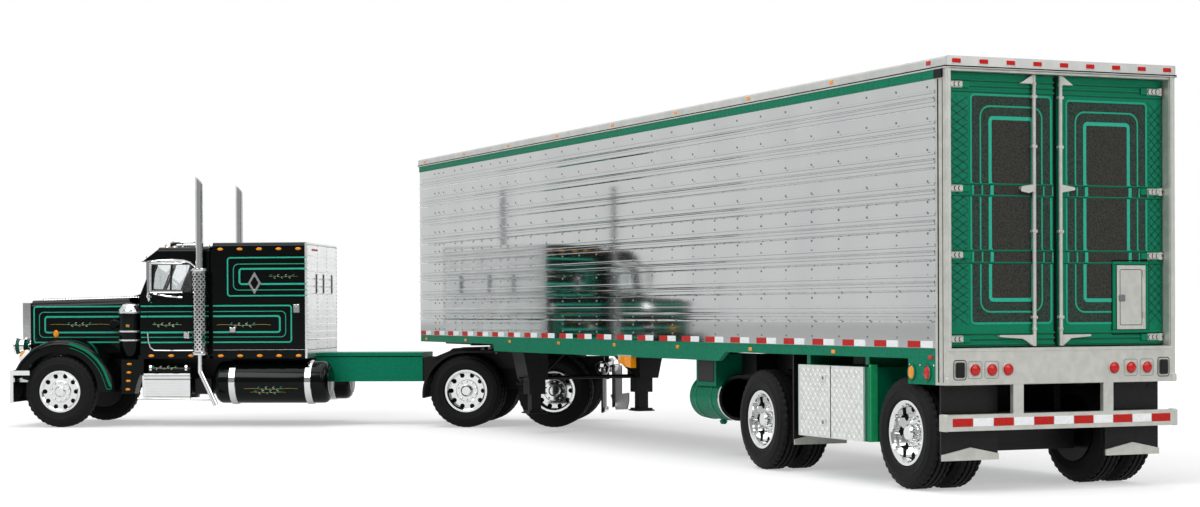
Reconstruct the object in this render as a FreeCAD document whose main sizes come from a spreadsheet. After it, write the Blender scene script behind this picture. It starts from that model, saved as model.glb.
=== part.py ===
import FreeCAD, Part
import math
import os

import Sketcher

# A 1:64 die-cast highway tractor and its spread-axle box trailer.
# The trailer runs along +X with its rear face near the low end, +Y is its left side and +Z is up.
# The tractor is drawn along its own +X from the kingpin and then turned about the kingpin.

VEHICLE_SIZES = {
    "articulation": 61.5,
    "running_gap": 0.05,
    "seat_gap": 0.1,
    "overrun": 1.0,
}

TRAILER_SIZES = {
    "trailer_length": 239.0,
    "trailer_width": 40.6,
    "trailer_top": 64.0,
    "wall": 0.8,
    "cap_height": 1.7,
    "cap_overhang": 0.25,
    "cap_edge_radius": 0.5,
    "deck_top": 21.4,
    "floor_thickness": 1.1,
    "front_wall_thickness": 1.0,
    "front_corner_radius": 0.7,
    "rail_bottom": 19.8,
    "deep_rail_bottom": 18.2,
    "deep_rail_rear": 75.0,
    "deep_rail_setback": 51.4,
    "rail_slope_run": 3.0,
    "rail_step_run": 0.4,
    "rib_depth": 0.15,
    "rib_height": 0.5,
    "rib_pair_step": 1.3,
    "frame_depth": 3.1,
    "sill_bottom": 16.0,
    "post_width": 0.8,
    "door_recess": 1.9,
    "door_thickness": 1.0,
    "door_edge_gap": 0.2,
    "door_seam_gap": 0.15,
    "hinge_inset": 0.4,
    "hinge_leaf_length": 3.6,
    "hinge_leaf_height": 0.9,
    "hinge_leaf_thickness": 0.3,
    "hinge_knuckle_radius": 0.35,
    "lock_rod_radius": 0.3,
    "left_rod_offset": 4.2,
    "right_rod_offset": 0.5,
    "lock_rod_stand": 0.5,
    "left_hook_width": 2.5,
    "right_hook_width": 2.2,
    "lock_hook_height": 1.3,
    "left_foot_width": 6.2,
    "right_foot_width": 5.3,
    "lock_foot_height": 0.55,
    "lock_handle_length": 2.4,
    "lock_handle_height": 0.8,
    "access_width": 5.4,
    "access_height": 9.8,
    "access_inner": 10.7,
    "access_bottom": 23.9,
    "access_thickness": 0.3,
    "light_box_length": 7.7,
    "light_box_height": 3.1,
    "light_box_depth": 0.2,
    "tail_lamp_radius": 0.85,
    "tail_lamp_depth": 0.3,
    "tail_lamp_height": 18.2,
    "tail_lamp_first": 9.5,
    "tail_lamp_step": 2.95,
    "side_lamp_step": 3.7,
    "side_lamp_radius": 1.0,
    "mid_lamp_length": 7.0,
    "mid_lamp_height": 2.2,
    "mid_lamp_depth": 1.0,
    "mid_lamp_centre": 114.9,
}

UNDER_TRAILER_SIZES = {
    "bumper_half_width": 20.7,
    "bumper_bar_bottom": 9.3,
    "bumper_bar_height": 2.4,
    "bumper_bar_depth": 1.5,
    "bumper_post_offset": 8.0,
    "bumper_post_width": 1.8,
    "bumper_post_depth": 0.8,
    "flap_thickness": 0.4,
    "flap_inner": 9.6,
    "flap_outer": 19.4,
    "flap_bottom": 4.8,
    "rear_flap_x": 3.1,
    "front_flap_x": 48.6,
    "flap_weight_height": 0.9,
    "flap_weight_peak": 1.0,
    "flap_weight_thickness": 0.3,
    "box_length": 21.0,
    "box_depth": 8.8,
    "box_bottom": 6.6,
    "box_top": 18.2,
    "box_centre": 34.6,
    "box_door_thickness": 0.25,
    "box_frame_width": 1.6,
    "box_strap_width": 1.2,
    "tank_radius": 4.1,
    "tank_length": 12.6,
    "tank_rear": 83.4,
    "tank_side": 12.0,
    "tank_height": 11.2,
    "tank_rim": 0.5,
    "tank_dish_depth": 2.4,
    "tank_hub_radius": 1.3,
    "tank_hanger_inset": 1.0,
    "tank_hanger_length": 8.2,
    "tank_hanger_bottom": 13.3,
    "tank_hanger_wall": 0.8,
    "tank_hanger_recess": 0.6,
    "leg_setback": 42.3,
    "leg_side": 13.0,
    "leg_width": 3.8,
    "leg_split": 8.7,
    "leg_inner_width": 2.3,
    "leg_foot_bottom": 4.4,
    "leg_foot_height": 0.7,
    "leg_foot_width": 3.8,
    "leg_bracket_length": 7.0,
    "leg_bracket_foot": 2.6,
    "leg_bracket_reach": 4.2,
    "leg_bracket_height": 7.3,
    "leg_shaft_radius": 0.45,
    "leg_shaft_height": 12.3,
    "subframe_side": 6.0,
    "subframe_width": 1.2,
    "subframe_bottom": 15.6,
    "subframe_rear": 5.0,
    "subframe_front": 78.0,
    "beam_half_length": 1.9,
    "beam_half_width": 9.4,
    "beam_bottom": 5.5,
    "beam_top": 11.4,
    "bulkhead_x": 18.9,
    "bulkhead_thickness": 0.8,
    "hanger_length": 3.0,
    "front_hanger_rear": 77.6,
    "front_hanger_length": 5.7,
    "front_hanger_outer": 11.4,
    "front_hanger_bottom": 14.4,
    "crossmember_length": 1.2,
    "crossmember_step": 14.0,
    "crossmember_depth": 1.1,
    "coupler_half_width": 14.0,
    "coupler_length": 26.0,
    "coupler_thickness": 1.1,
    "kingpin_setback": 15.0,
    "kingpin_radius": 1.2,
    "kingpin_drop": 2.0,
}

WHEEL_SIZES = {
    "tyre_radius": 8.5,
    "tyre_width": 4.5,
    "tyre_shoulder": 0.8,
    "sidewall_inset": 0.3,
    "sidewall_bend": 3.0,
    "bead_radius": 4.95,
    "twin_gap": 0.7,
    "rim_lip": 0.45,
    "rim_wall": 0.35,
    "dish_depth": 2.0,
    "flange_radius": 2.6,
    "flange_height": 0.3,
    "hub_radius": 1.3,
    "hub_length": 1.5,
    "hub_cap_bevel": 0.3,
    "steer_hub_length": 0.5,
    "steer_dish_depth": 0.5,
    "hand_hole_radius": 0.55,
    "hand_hole_circle": 3.75,
    "pin_radius": 0.75,
    "trailer_track_outer": 20.0,
    "rear_axle_setback": 12.7,
    "front_axle_setback": 60.0,
    "drive_track_outer": 19.3,
    "drive_axle_offset": 10.3,
    "steer_axle_reach": 107.6,
    "steer_track_outer": 19.2,
    "axle_tube_radius": 1.5,
}

TRACTOR_SIZES = {
    "fifth_radius": 7.2,
    "fifth_thickness": 1.0,
    "fifth_throat_width": 2.9,
    "fifth_pivot_radius": 0.5,
    "fifth_pivot_drop": 1.3,
    "fifth_bracket_width": 1.0,
    "fifth_bracket_length": 3.4,
    "frame_side": 7.0,
    "frame_thickness": 1.2,
    "frame_top": 16.1,
    "frame_bottom": 10.4,
    "frame_flange": 1.8,
    "frame_rear": 21.0,
    "frame_front": 113.0,
    "deck_rear": 22.5,
    "deck_thickness": 1.2,
    "cover_thickness": 0.4,
    "cab_half_width": 16.9,
    "cab_bottom": 16.2,
    "cab_wall": 0.8,
    "sleeper_rear": 48.3,
    "sleeper_front": 71.0,
    "sleeper_top": 43.6,
    "sleeper_edge_radius": 1.0,
    "sleeper_panel_thickness": 0.5,
    "boot_length": 0.8,
    "boot_inset": 0.6,
    "cab_front": 88.6,
    "cab_roof_front": 84.0,
    "cab_roof_top": 42.6,
    "cab_belt": 31.2,
    "cab_edge_radius": 1.2,
    "cowl_length": 5.2,
    "cowl_half_width": 13.0,
    "cowl_top": 32.4,
    "cowl_bend": 8.0,
    "skirt_length": 4.6,
    "skirt_inner": 13.4,
    "skirt_bottom": 7.9,
    "skirt_step": 1.4,
    "skirt_rise": 4.4,
    "skirt_bend": 12.0,
    "skirt_top": 16.0,
    "window_bottom": 31.9,
    "window_top": 38.6,
    "window_rear": 75.6,
    "window_front": 85.6,
    "windscreen_half_width": 14.6,
    "windscreen_bottom": 32.8,
    "windscreen_top": 40.6,
    "windscreen_bar": 0.7,
    "glass_thickness": 0.3,
    "visor_reach": 4.0,
    "visor_top_drop": 0.6,
    "visor_root_drop": 3.0,
    "visor_tip_drop": 3.4,
    "visor_thickness": 0.5,
    "diamond_height": 5.4,
    "diamond_width": 3.1,
    "diamond_centre": 60.8,
    "diamond_level": 34.0,
    "hood_front": 118.1,
    "hood_rear_half_width": 10.4,
    "hood_front_half_width": 8.6,
    "hood_front_top": 30.2,
    "hood_rear_top": 30.9,
    "hood_bottom": 17.4,
    "hood_edge_radius": 2.0,
    "hood_wall": 0.8,
    "grille_depth": 1.9,
    "grille_top": 29.6,
    "grille_bottom": 13.6,
    "grille_border": 0.9,
    "grille_bar_width": 0.35,
    "front_bumper_front": 121.5,
    "front_bumper_sweep": 2.0,
    "front_bumper_flat": 13.0,
    "front_bumper_half_width": 19.6,
    "front_bumper_return": 4.8,
    "front_bumper_bottom": 5.8,
    "front_bumper_top": 13.5,
    "front_bumper_wall": 0.8,
    "bumper_lip_height": 1.1,
    "bumper_lip_thickness": 0.35,
    "fender_outer": 19.2,
    "fender_inner": 9.2,
    "fender_radius": 12.2,
    "fender_tail_reach": 13.6,
    "fender_opening_radius": 9.4,
    "fender_crown": 1.3,
    "fender_front_bottom": 13.6,
    "fender_rear_bottom": 8.4,
    "headlamp_radius": 1.7,
    "headlamp_depth": 2.3,
    "headlamp_side": 12.6,
    "headlamp_height": 19.2,
    "air_cleaner_radius": 2.6,
    "air_cleaner_foot_radius": 1.9,
    "air_cleaner_cap_radius": 1.5,
    "air_cleaner_gap": 0.9,
    "air_cleaner_v": 13.6,
    "air_cleaner_taper": 3.6,
    "air_cleaner_top": 29.3,
    "air_cleaner_dome": 2.2,
    "intake_radius": 0.85,
    "intake_mouth_radius": 1.1,
    "intake_level": 24.4,
    "intake_v": 11.6,
    "intake_reach": 2.2,
    "stack_forward": 2.6,
    "stack_clearance": 0.15,
    "stack_radius": 0.9,
    "stack_top": 59.2,
    "stack_cut": 3.0,
    "shield_radius": 1.65,
    "shield_bottom": 17.2,
    "shield_top": 37.4,
    "elbow_radius": 0.6,
    "elbow_straight": 4.1,
    "elbow_drop": 7.9,
    "elbow_back": 3.7,
    "fuel_tank_radius": 4.95,
    "fuel_tank_length": 27.4,
    "fuel_tank_gap": 2.6,
    "fuel_tank_v": 12.6,
    "fuel_tank_height": 10.5,
    "fuel_tank_dome": 1.4,
    "fuel_strap_width": 1.4,
    "fuel_strap_thickness": 0.2,
    "fuel_strap_inset": 3.9,
    "step_box_gap": 1.3,
    "step_box_length": 11.55,
    "step_box_inner": 8.4,
    "step_box_outer": 17.0,
    "step_box_bottom": 6.7,
    "step_box_top": 12.2,
    "air_tank_radius": 1.15,
    "air_tank_v": 15.4,
    "step_bar_radius": 0.3,
    "mirror_setback": 3.6,
    "mirror_stand": 4.5,
    "mirror_bottom": 31.8,
    "mirror_top": 39.0,
    "mirror_width": 1.5,
    "mirror_thickness": 0.6,
    "mirror_arm_radius": 0.3,
    "mirror_arm_back": 6.8,
    "horn_radius": 0.75,
    "horn_length": 6.4,
    "horn_v": 4.6,
    "seat_setback": 5.4,
    "seat_width": 7.0,
    "seat_length": 5.6,
    "seat_height": 8.0,
    "seat_back": 13.6,
    "seat_back_thickness": 1.6,
    "seat_v": 8.0,
    "dash_depth": 2.2,
    "dash_height": 4.6,
    "wheel_ring_radius": 2.4,
    "wheel_ring_wire": 0.25,
    "wheel_ring_tilt": 60.0,
    "wheel_ring_drop": 1.4,
    "steering_column_radius": 0.4,
    "engine_length": 17.0,
    "engine_width": 9.0,
    "engine_bottom": 10.0,
    "engine_top": 25.0,
    "steer_beam_width": 2.0,
    "suspension_width": 2.0,
    "half_fender_rise": 9.4,
    "half_fender_reach": 10.2,
    "half_fender_skin": 0.5,
    "half_fender_inner": 9.7,
    "half_fender_outer": 19.5,
    "half_fender_low": 6.9,
    "tail_flap_u": 21.6,
    "tail_flap_bottom": 3.4,
    "tail_bar_height": 14.4,
}


class Size:
    """A length with its value and the cell formula that gives it."""

    def __init__(self, value, text):
        self.value = value
        self.text = text

    def __add__(self, other):
        return joined(self, other, "+", self.value + number(other))

    def __radd__(self, other):
        return joined(other, self, "+", number(other) + self.value)

    def __sub__(self, other):
        return joined(self, other, "-", self.value - number(other))

    def __rsub__(self, other):
        return joined(other, self, "-", number(other) - self.value)

    def __mul__(self, other):
        return joined(self, other, "*", self.value * number(other))

    def __rmul__(self, other):
        return joined(other, self, "*", number(other) * self.value)

    def __truediv__(self, other):
        return joined(self, other, "/", self.value / number(other))

    def __neg__(self):
        return Size(-self.value, "(0 - %s)" % self.text)


def number(size):
    return size.value if isinstance(size, Size) else size


def formula(size):
    return size.text if isinstance(size, Size) else repr(size)


def joined(left, right, sign, value):
    return Size(value, "(%s %s %s)" % (formula(left), sign, formula(right)))


def cosine(angle):
    return Size(math.cos(math.radians(angle.value)), "cos(%s)" % angle.text)


def sine(angle):
    return Size(math.sin(math.radians(angle.value)), "sin(%s)" % angle.text)


def root(size):
    return Size(math.sqrt(size.value), "sqrt(%s)" % size.text)


class Sizes:
    """The driving dimensions, one attribute for each cell of the sheet."""

    def __init__(self, doc, tables):
        sheet = doc.addObject("Spreadsheet::Sheet", "Sizes")
        row = 0
        for table in tables:
            for name, value in table.items():
                row += 1
                sheet.set("A%d" % row, name)
                sheet.set("B%d" % row, repr(value))
                sheet.setAlias("B%d" % row, name)
                setattr(self, name, Size(value, "Sizes." + name))
        doc.recompute()


doc = FreeCAD.newDocument("decorated_truck")
S = Sizes(doc, [VEHICLE_SIZES, TRAILER_SIZES, UNDER_TRAILER_SIZES, WHEEL_SIZES, TRACTOR_SIZES])

SIDES = {"left": 1, "right": -1}
CLOSE = 1e-4
HAND_HOLES = 10
GRILLE_BARS = 15
nodes = []


def bind(item, name, size):
    if isinstance(size, Size):
        item.setExpression(name, size.text)
    else:
        parent, dot, last = name.rpartition(".")
        item.setExpression(name, repr(float(size)))


def place(item, x=0, y=0, z=0):
    for axis, size in zip("xyz", (x, y, z)):
        bind(item, "Placement.Base." + axis, size)
    return item


def block(name, x0, x1, y0, y1, z0, z1):
    """A box between two corners."""
    item = doc.addObject("Part::Box", name)
    bind(item, "Length", x1 - x0)
    bind(item, "Width", y1 - y0)
    bind(item, "Height", z1 - z0)
    return place(item, x0, y0, z0)


def rod(name, axis, radius, low, high, across, up):
    """A cylinder along X, Y or Z between two stations; across and up place its axis."""
    item = doc.addObject("Part::Cylinder", name)
    bind(item, "Radius", radius)
    bind(item, "Height", high - low)
    if axis == "x":
        item.Placement.Rotation = FreeCAD.Rotation(FreeCAD.Vector(0, 1, 0), 90)
        return place(item, low, across, up)
    if axis == "y":
        item.Placement.Rotation = FreeCAD.Rotation(FreeCAD.Vector(1, 0, 0), -90)
        return place(item, across, low, up)
    return place(item, across, up, low)


def union(name, pieces):
    if len(pieces) == 1:
        return pieces[0]
    item = doc.addObject("Part::MultiFuse", name)
    item.Shapes = pieces
    item.Refine = True
    return item


def minus(name, base, tools):
    item = doc.addObject("Part::Cut", name)
    item.Base = base
    item.Tool = union(name + "_tools", tools)
    return item


def mirrored(name, piece):
    """The same piece on the other side of the XZ plane."""
    item = doc.addObject("Part::Mirroring", name)
    item.Source = piece
    item.Normal = FreeCAD.Vector(0, 1, 0)
    return item


def pair(name, piece):
    return [piece, mirrored(name + "_other_side", piece)]


def plane_of(body, role):
    return [item for item in body.Origin.OriginFeatures if item.Role == role][0]


def draw(body, role, points):
    """A closed, fully dimensioned outline; a point's third value bends the edge that leaves it."""
    sketch = body.newObject("Sketcher::SketchObject", body.Name + "_outline")
    sketch.AttachmentSupport = [(plane_of(body, role), "")]
    sketch.MapMode = "FlatFace"
    count = len(points)
    corners = [FreeCAD.Vector(number(point[0]), number(point[1]), 0) for point in points]
    for i in range(count):
        start = corners[i]
        end = corners[(i + 1) % count]
        if len(points[i]) == 2:
            sketch.addGeometry(Part.LineSegment(start, end), False)
        else:
            sketch.addGeometry(bent_edge(start, end, number(points[i][2])), False)
    for i in range(count):
        join_next(sketch, points, i)
    for i in range(count):
        dimension_corner(sketch, points, i)
    return sketch


def bent_edge(start, end, radius):
    """An arc through two corners; a positive radius bulges to the right of the way along it."""
    along = end - start
    half = along.Length / 2
    right = FreeCAD.Vector(along.y, -along.x, 0).normalize()
    side = 1 if radius > 0 else -1
    reach = math.sqrt(max(radius * radius - half * half, 0))
    top = (start + end) / 2 + right * side * (abs(radius) - reach)
    return Part.Arc(start, top, end)


def runs_backwards(point):
    """An arc that bulges right is kept by the sketch from start to end, the others from end to start."""
    return len(point) == 3 and number(point[2]) < 0


def ends(points, i):
    return (2, 1) if runs_backwards(points[i]) else (1, 2)


def join_next(sketch, points, i):
    following = (i + 1) % len(points)
    last = ends(points, i)[1]
    first = ends(points, following)[0]
    sketch.addConstraint(Sketcher.Constraint("Coincident", i, last, following, first))


def dimension_corner(sketch, points, i):
    first = ends(points, i)[0]
    for kind, size in (("DistanceX", points[i][0]), ("DistanceY", points[i][1])):
        index = sketch.addConstraint(Sketcher.Constraint(kind, -1, 1, i, first, number(size)))
        sketch.setExpression("Constraints[%d]" % index, formula(size))
    if len(points[i]) == 3:
        radius = points[i][2]
        index = sketch.addConstraint(Sketcher.Constraint("Radius", i, abs(number(radius))))
        sketch.setExpression("Constraints[%d]" % index, "abs(%s)" % formula(radius))


def profile(name, role, points, low, high):
    """An outline on XY, XZ or YZ padded between two stations of the third axis."""
    body = doc.addObject("PartDesign::Body", name)
    sketch = draw(body, role, points)
    pad = body.newObject("PartDesign::Pad", name + "_pad")
    pad.Profile = sketch
    bind(pad, "Length", high - low)
    if role == "XY_Plane":
        return place(body, z=low)
    if role == "XZ_Plane":
        return place(body, y=high)
    return place(body, x=low)


def turned(name, role, points, axis, x=0, y=0, z=0):
    """An outline turned about one of its sketch's own axes."""
    body = doc.addObject("PartDesign::Body", name)
    sketch = draw(body, role, points)
    revolution = body.newObject("PartDesign::Revolution", name + "_turn")
    revolution.Profile = sketch
    revolution.ReferenceAxis = (sketch, [axis])
    revolution.Angle = 360
    return place(body, x, y, z)


def soften(body, radius, choose):
    """Rounds the edges of a body's tip that the chooser picks."""
    doc.recompute()
    base = body.Tip
    picked = ["Edge%d" % (i + 1) for i, edge in enumerate(base.Shape.Edges) if choose(edge)]
    fillet = body.newObject("PartDesign::Fillet", body.Name + "_fillet")
    fillet.Base = (base, picked)
    bind(fillet, "Radius", radius)
    return body


def runs_along(edge, axis):
    """Whether an edge is straight and parallel to an axis."""
    start = edge.valueAt(edge.FirstParameter)
    end = edge.valueAt(edge.LastParameter)
    way = end - start
    return way.Length > 0 and way.normalize().isEqual(along(axis) * sign_of(way, axis), CLOSE)


def along(axis):
    return FreeCAD.Vector(*[float(axis == letter) for letter in "xyz"])


def sign_of(way, axis):
    return math.copysign(1, getattr(way, axis))


def bent_pipe(name, radius, points, x, y, z):
    """A round pipe that starts downward at a place and follows points in the XZ plane."""
    body = doc.addObject("PartDesign::Body", name)
    circle = body.newObject("Sketcher::SketchObject", name + "_section")
    circle.AttachmentSupport = [(plane_of(body, "XY_Plane"), "")]
    circle.MapMode = "FlatFace"
    circle.addGeometry(Part.Circle(FreeCAD.Vector(), FreeCAD.Vector(0, 0, 1), number(radius)), False)
    circle.addConstraint(Sketcher.Constraint("Coincident", 0, 3, -1, 1))
    index = circle.addConstraint(Sketcher.Constraint("Radius", 0, number(radius)))
    circle.setExpression("Constraints[%d]" % index, formula(radius))
    pipe = body.newObject("PartDesign::AdditivePipe", name + "_pipe")
    pipe.Profile = circle
    pipe.Spine = (open_path(body, name + "_path", points), [])
    pipe.Transition = "Round corner"
    return place(body, x, y, z)


def open_path(body, name, points):
    """A dimensioned line through points of the XZ plane."""
    path = body.newObject("Sketcher::SketchObject", name)
    path.AttachmentSupport = [(plane_of(body, "XZ_Plane"), "")]
    path.MapMode = "FlatFace"
    corners = [FreeCAD.Vector(number(point[0]), number(point[1]), 0) for point in points]
    for i in range(len(points) - 1):
        path.addGeometry(Part.LineSegment(corners[i], corners[i + 1]), False)
        if i:
            path.addConstraint(Sketcher.Constraint("Coincident", i - 1, 2, i, 1))
    for i, point in enumerate(points):
        edge, end = (i, 1) if i < len(points) - 1 else (i - 1, 2)
        for kind, size in (("DistanceX", point[0]), ("DistanceY", point[1])):
            index = path.addConstraint(Sketcher.Constraint(kind, -1, 1, edge, end, number(size)))
            path.setExpression("Constraints[%d]" % index, formula(size))
    return path


def node(name, pieces):
    item = doc.addObject("Part::Compound", name)
    item.Links = pieces
    item.Label = name
    nodes.append(item)
    return item


# The whole vehicle stands with its middle over the origin.
# Its far corner is the end of the tractor's front bumper, its right one the end of the tail bar.
bumper_end_u = S.front_bumper_front - S.front_bumper_sweep
kingpin_x = S.trailer_length - S.kingpin_setback
half_width = S.trailer_width / 2
reach_x = (kingpin_x + cosine(S.articulation) * bumper_end_u
           + sine(S.articulation) * S.front_bumper_half_width)
reach_left = (sine(S.articulation) * bumper_end_u
              + cosine(S.articulation) * S.front_bumper_half_width)
reach_right = (sine(S.articulation) * (S.tail_flap_u + S.flap_thickness)
               + cosine(S.articulation) * S.half_fender_outer)
origin_x = (S.tail_lamp_depth - reach_x) / 2
origin_y = (reach_right - reach_left) / 2


def trailer_node(name, pieces):
    return place(node(name, pieces), origin_x, origin_y)


def tractor_node(name, pieces):
    item = node(name, pieces)
    item.Placement.Rotation = FreeCAD.Rotation(FreeCAD.Vector(0, 0, 1), number(S.articulation))
    bind(item, "Placement.Rotation.Angle", S.articulation)
    return place(item, origin_x + kingpin_x, origin_y)


cap_bottom = S.trailer_top - S.cap_height
inner_half_width = half_width - S.wall
nose_inside = S.trailer_length - S.front_wall_thickness
floor_bottom = S.deck_top - S.floor_thickness


# ---------------------------------------------------------------- trailer body


def side_wall_points():
    """The wall's section: plain inside, with pairs of long ribs outside."""
    rib_pair_shares = (0.112, 0.222, 0.332, 0.442, 0.552, 0.662, 0.772, 0.882)
    height = cap_bottom - S.deck_top
    points = [(inner_half_width, S.deck_top), (half_width, S.deck_top)]
    for share in rib_pair_shares:
        for step in (0, 1):
            low = S.deck_top + height * share + S.rib_pair_step * step
            points.append((half_width, low))
            points.append((half_width + S.rib_depth, low + S.rib_height / 4))
            points.append((half_width + S.rib_depth, low + S.rib_height * 3 / 4))
            points.append((half_width, low + S.rib_height))
    points.append((half_width, cap_bottom))
    points.append((inner_half_width, cap_bottom))
    return points


def build_trailer_walls():
    wall = profile("side_wall", "YZ_Plane", side_wall_points(), S.frame_depth, nose_inside)
    trailer_node("trailer_side_left", [wall])
    trailer_node("trailer_side_right", [mirrored("side_wall_other_side", wall)])
    nose = profile("front_wall", "XY_Plane", [
        (nose_inside, -half_width), (S.trailer_length, -half_width),
        (S.trailer_length, half_width), (nose_inside, half_width),
    ], S.rail_bottom, cap_bottom)
    soften(nose, S.front_corner_radius,
           lambda edge: runs_along(edge, "z") and edge.CenterOfMass.x > number(nose_inside) + CLOSE)
    trailer_node("trailer_front_wall", [nose])


def build_trailer_roof():
    edge_y = half_width + S.cap_overhang
    roof = profile("roof", "YZ_Plane", [
        (-edge_y, cap_bottom), (edge_y, cap_bottom),
        (edge_y, S.trailer_top), (-edge_y, S.trailer_top),
    ], -S.cap_overhang, S.trailer_length + S.cap_overhang)
    soften(roof, S.cap_edge_radius,
           lambda edge: runs_along(edge, "z")
           or runs_along(edge, "x") and edge.CenterOfMass.z > number(cap_bottom) + CLOSE)
    trailer_node("trailer_roof", [roof])


def build_trailer_floor():
    bottom = floor_bottom
    parts = [block("floor_plate", S.frame_depth, nose_inside, -inner_half_width, inner_half_width,
                   bottom, S.deck_top)]
    count = int(number((nose_inside - S.coupler_length - S.subframe_front) / S.crossmember_step))
    for i in range(count):
        x = S.subframe_front + S.crossmember_step * (i + 1)
        parts.append(block("crossmember_%d" % i, x, x + S.crossmember_length,
                           -inner_half_width, inner_half_width,
                           bottom - S.crossmember_depth, bottom))
    trailer_node("trailer_floor", [union("floor", parts)])


def build_bottom_rails():
    """A rail under each wall, deeper between the landing gear and the axles."""
    front = nose_inside
    deep_front = S.trailer_length - S.deep_rail_setback
    rail = profile("bottom_rail", "XZ_Plane", [
        (S.frame_depth, S.rail_bottom),
        (S.deep_rail_rear - S.rail_slope_run, S.rail_bottom),
        (S.deep_rail_rear, S.deep_rail_bottom),
        (deep_front, S.deep_rail_bottom),
        (deep_front + S.rail_step_run, S.rail_bottom),
        (front, S.rail_bottom),
        (front, S.deck_top),
        (S.frame_depth, S.deck_top),
    ], inner_half_width, half_width)
    box = block("light_box", S.frame_depth, S.frame_depth + S.light_box_length,
                half_width - S.light_box_depth, half_width,
                S.sill_bottom, S.rail_bottom)
    trailer_node("bottom_rails", pair("bottom_rail", union("bottom_rail_body", [rail, box])))


def build_rear_frame():
    post = block("rear_post", 0, S.frame_depth, half_width - S.post_width, half_width,
                 S.sill_bottom, cap_bottom)
    sill = block("sill", 0, S.frame_depth, -half_width, half_width, S.sill_bottom, S.deck_top)
    trailer_node("rear_frame", [union("rear_frame_body", pair("rear_post", post) + [sill])])


def build_coupler():
    """The nose plate with the kingpin that the tractor turns about."""
    plate = block("coupler_plate", nose_inside - S.coupler_length, nose_inside,
                  -S.coupler_half_width, S.coupler_half_width, coupler_bottom, floor_bottom)
    pin = rod("kingpin", "z", S.kingpin_radius, coupler_bottom - S.kingpin_drop,
              floor_bottom, kingpin_x, 0)
    trailer_node("upper_coupler", [union("coupler", [plate, pin])])


coupler_bottom = floor_bottom - S.coupler_thickness


# ---------------------------------------------------------------- rear doors


door_bottom = S.deck_top + S.door_edge_gap
door_top = cap_bottom - S.door_edge_gap - S.cap_overhang
door_outer = half_width - S.post_width - S.door_edge_gap
hinge_y = door_outer - S.hinge_inset


def build_door(side):
    """A door leaf with four hinge straps on its outer edge."""
    hinge_level_shares = (0.028, 0.335, 0.578, 0.957)
    leaf = block("door_leaf_" + side, S.door_recess, S.door_recess + S.door_thickness,
                 S.door_seam_gap, door_outer, door_bottom, door_top)
    parts = [leaf]
    for i, share in enumerate(hinge_level_shares):
        level = door_bottom + (door_top - door_bottom) * share
        low = level - S.hinge_leaf_height / 2
        high = level + S.hinge_leaf_height / 2
        parts.append(block("hinge_%s_%d" % (side, i),
                           S.door_recess - S.hinge_leaf_thickness, S.door_recess,
                           hinge_y - S.hinge_leaf_length, hinge_y, low, high))
        parts.append(rod("knuckle_%s_%d" % (side, i), "z", S.hinge_knuckle_radius, low, high,
                         S.door_recess, hinge_y))
    if side == "right":
        parts.append(block("access_panel", S.door_recess - S.access_thickness, S.door_recess,
                           S.access_inner, S.access_inner + S.access_width,
                           S.access_bottom, S.access_bottom + S.access_height))
    door = union("door_" + side, parts)
    if side == "right":
        door = mirrored("door_right_leaf", door)
    trailer_node("rear_door_" + side, [door])


def build_lock_rod(side, y, hook_width, foot_width):
    """A lock rod with a hook at its head, a tapered foot and a handle."""
    handle_level_share = 0.578
    rod_x = S.door_recess - S.lock_rod_stand
    back = rod_x - S.lock_rod_radius / 2
    level = door_bottom + (door_top - door_bottom) * handle_level_share
    foot_top = door_bottom + S.lock_foot_height * 3
    parts = [rod("lock_bar_" + side, "z", S.lock_rod_radius, door_bottom, door_top, rod_x, y)]
    parts.append(profile("lock_foot_" + side, "YZ_Plane", [
        (y, door_bottom), (y + S.lock_rod_radius, door_bottom),
        (y + foot_width / 3, foot_top - S.lock_foot_height),
        (y + foot_width, foot_top - S.lock_foot_height / 2), (y + foot_width, foot_top), (y, foot_top),
    ], back, S.door_recess))
    parts.append(profile("lock_hook_" + side, "YZ_Plane", [
        (y, door_top - S.lock_hook_height), (y + hook_width, door_top - S.lock_hook_height),
        (y + S.lock_rod_radius, door_top), (y, door_top),
    ], back, S.door_recess))
    parts.append(profile("lock_handle_" + side, "YZ_Plane", [
        (y, level - S.lock_handle_height / 2), (y + S.lock_handle_length, level),
        (y + S.lock_handle_length, level + S.lock_handle_height / 2),
        (y, level + S.lock_handle_height),
    ], rod_x - S.lock_rod_radius, S.door_recess))
    bar = union("lock_rod_body_" + side, parts)
    if side == "right":
        bar = mirrored("lock_rod_right_side", bar)
    trailer_node("lock_rod_" + side, [bar])


# ---------------------------------------------------------------- trailer lamps and bumper


def build_trailer_lamps():
    """Three stop lamps a side, the side pair on its box, and the lamp at mid length."""
    discs = []
    for i in range(3):
        y = S.tail_lamp_first + S.tail_lamp_step * i
        discs += pair("tail_lamp_%d" % i,
                      rod("tail_lamp_%d" % i, "x", S.tail_lamp_radius, -S.tail_lamp_depth, 0,
                          y, S.tail_lamp_height))
    for i in range(2):
        x = S.frame_depth + S.light_box_length / 2 + S.side_lamp_step * (i - 1 / 2)
        discs += pair("side_lamp_%d" % i,
                      rod("side_lamp_%d" % i, "y", S.side_lamp_radius, half_width,
                          half_width + S.tail_lamp_depth, x,
                          S.sill_bottom + S.light_box_height / 2))
    lamp = block("mid_lamp", S.mid_lamp_centre - S.mid_lamp_length / 2,
                 S.mid_lamp_centre + S.mid_lamp_length / 2,
                 half_width - S.mid_lamp_depth, half_width,
                 S.deep_rail_bottom - S.mid_lamp_height, S.deep_rail_bottom)
    discs += pair("mid_lamp", lamp)
    trailer_node("trailer_lamps", discs)


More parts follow.
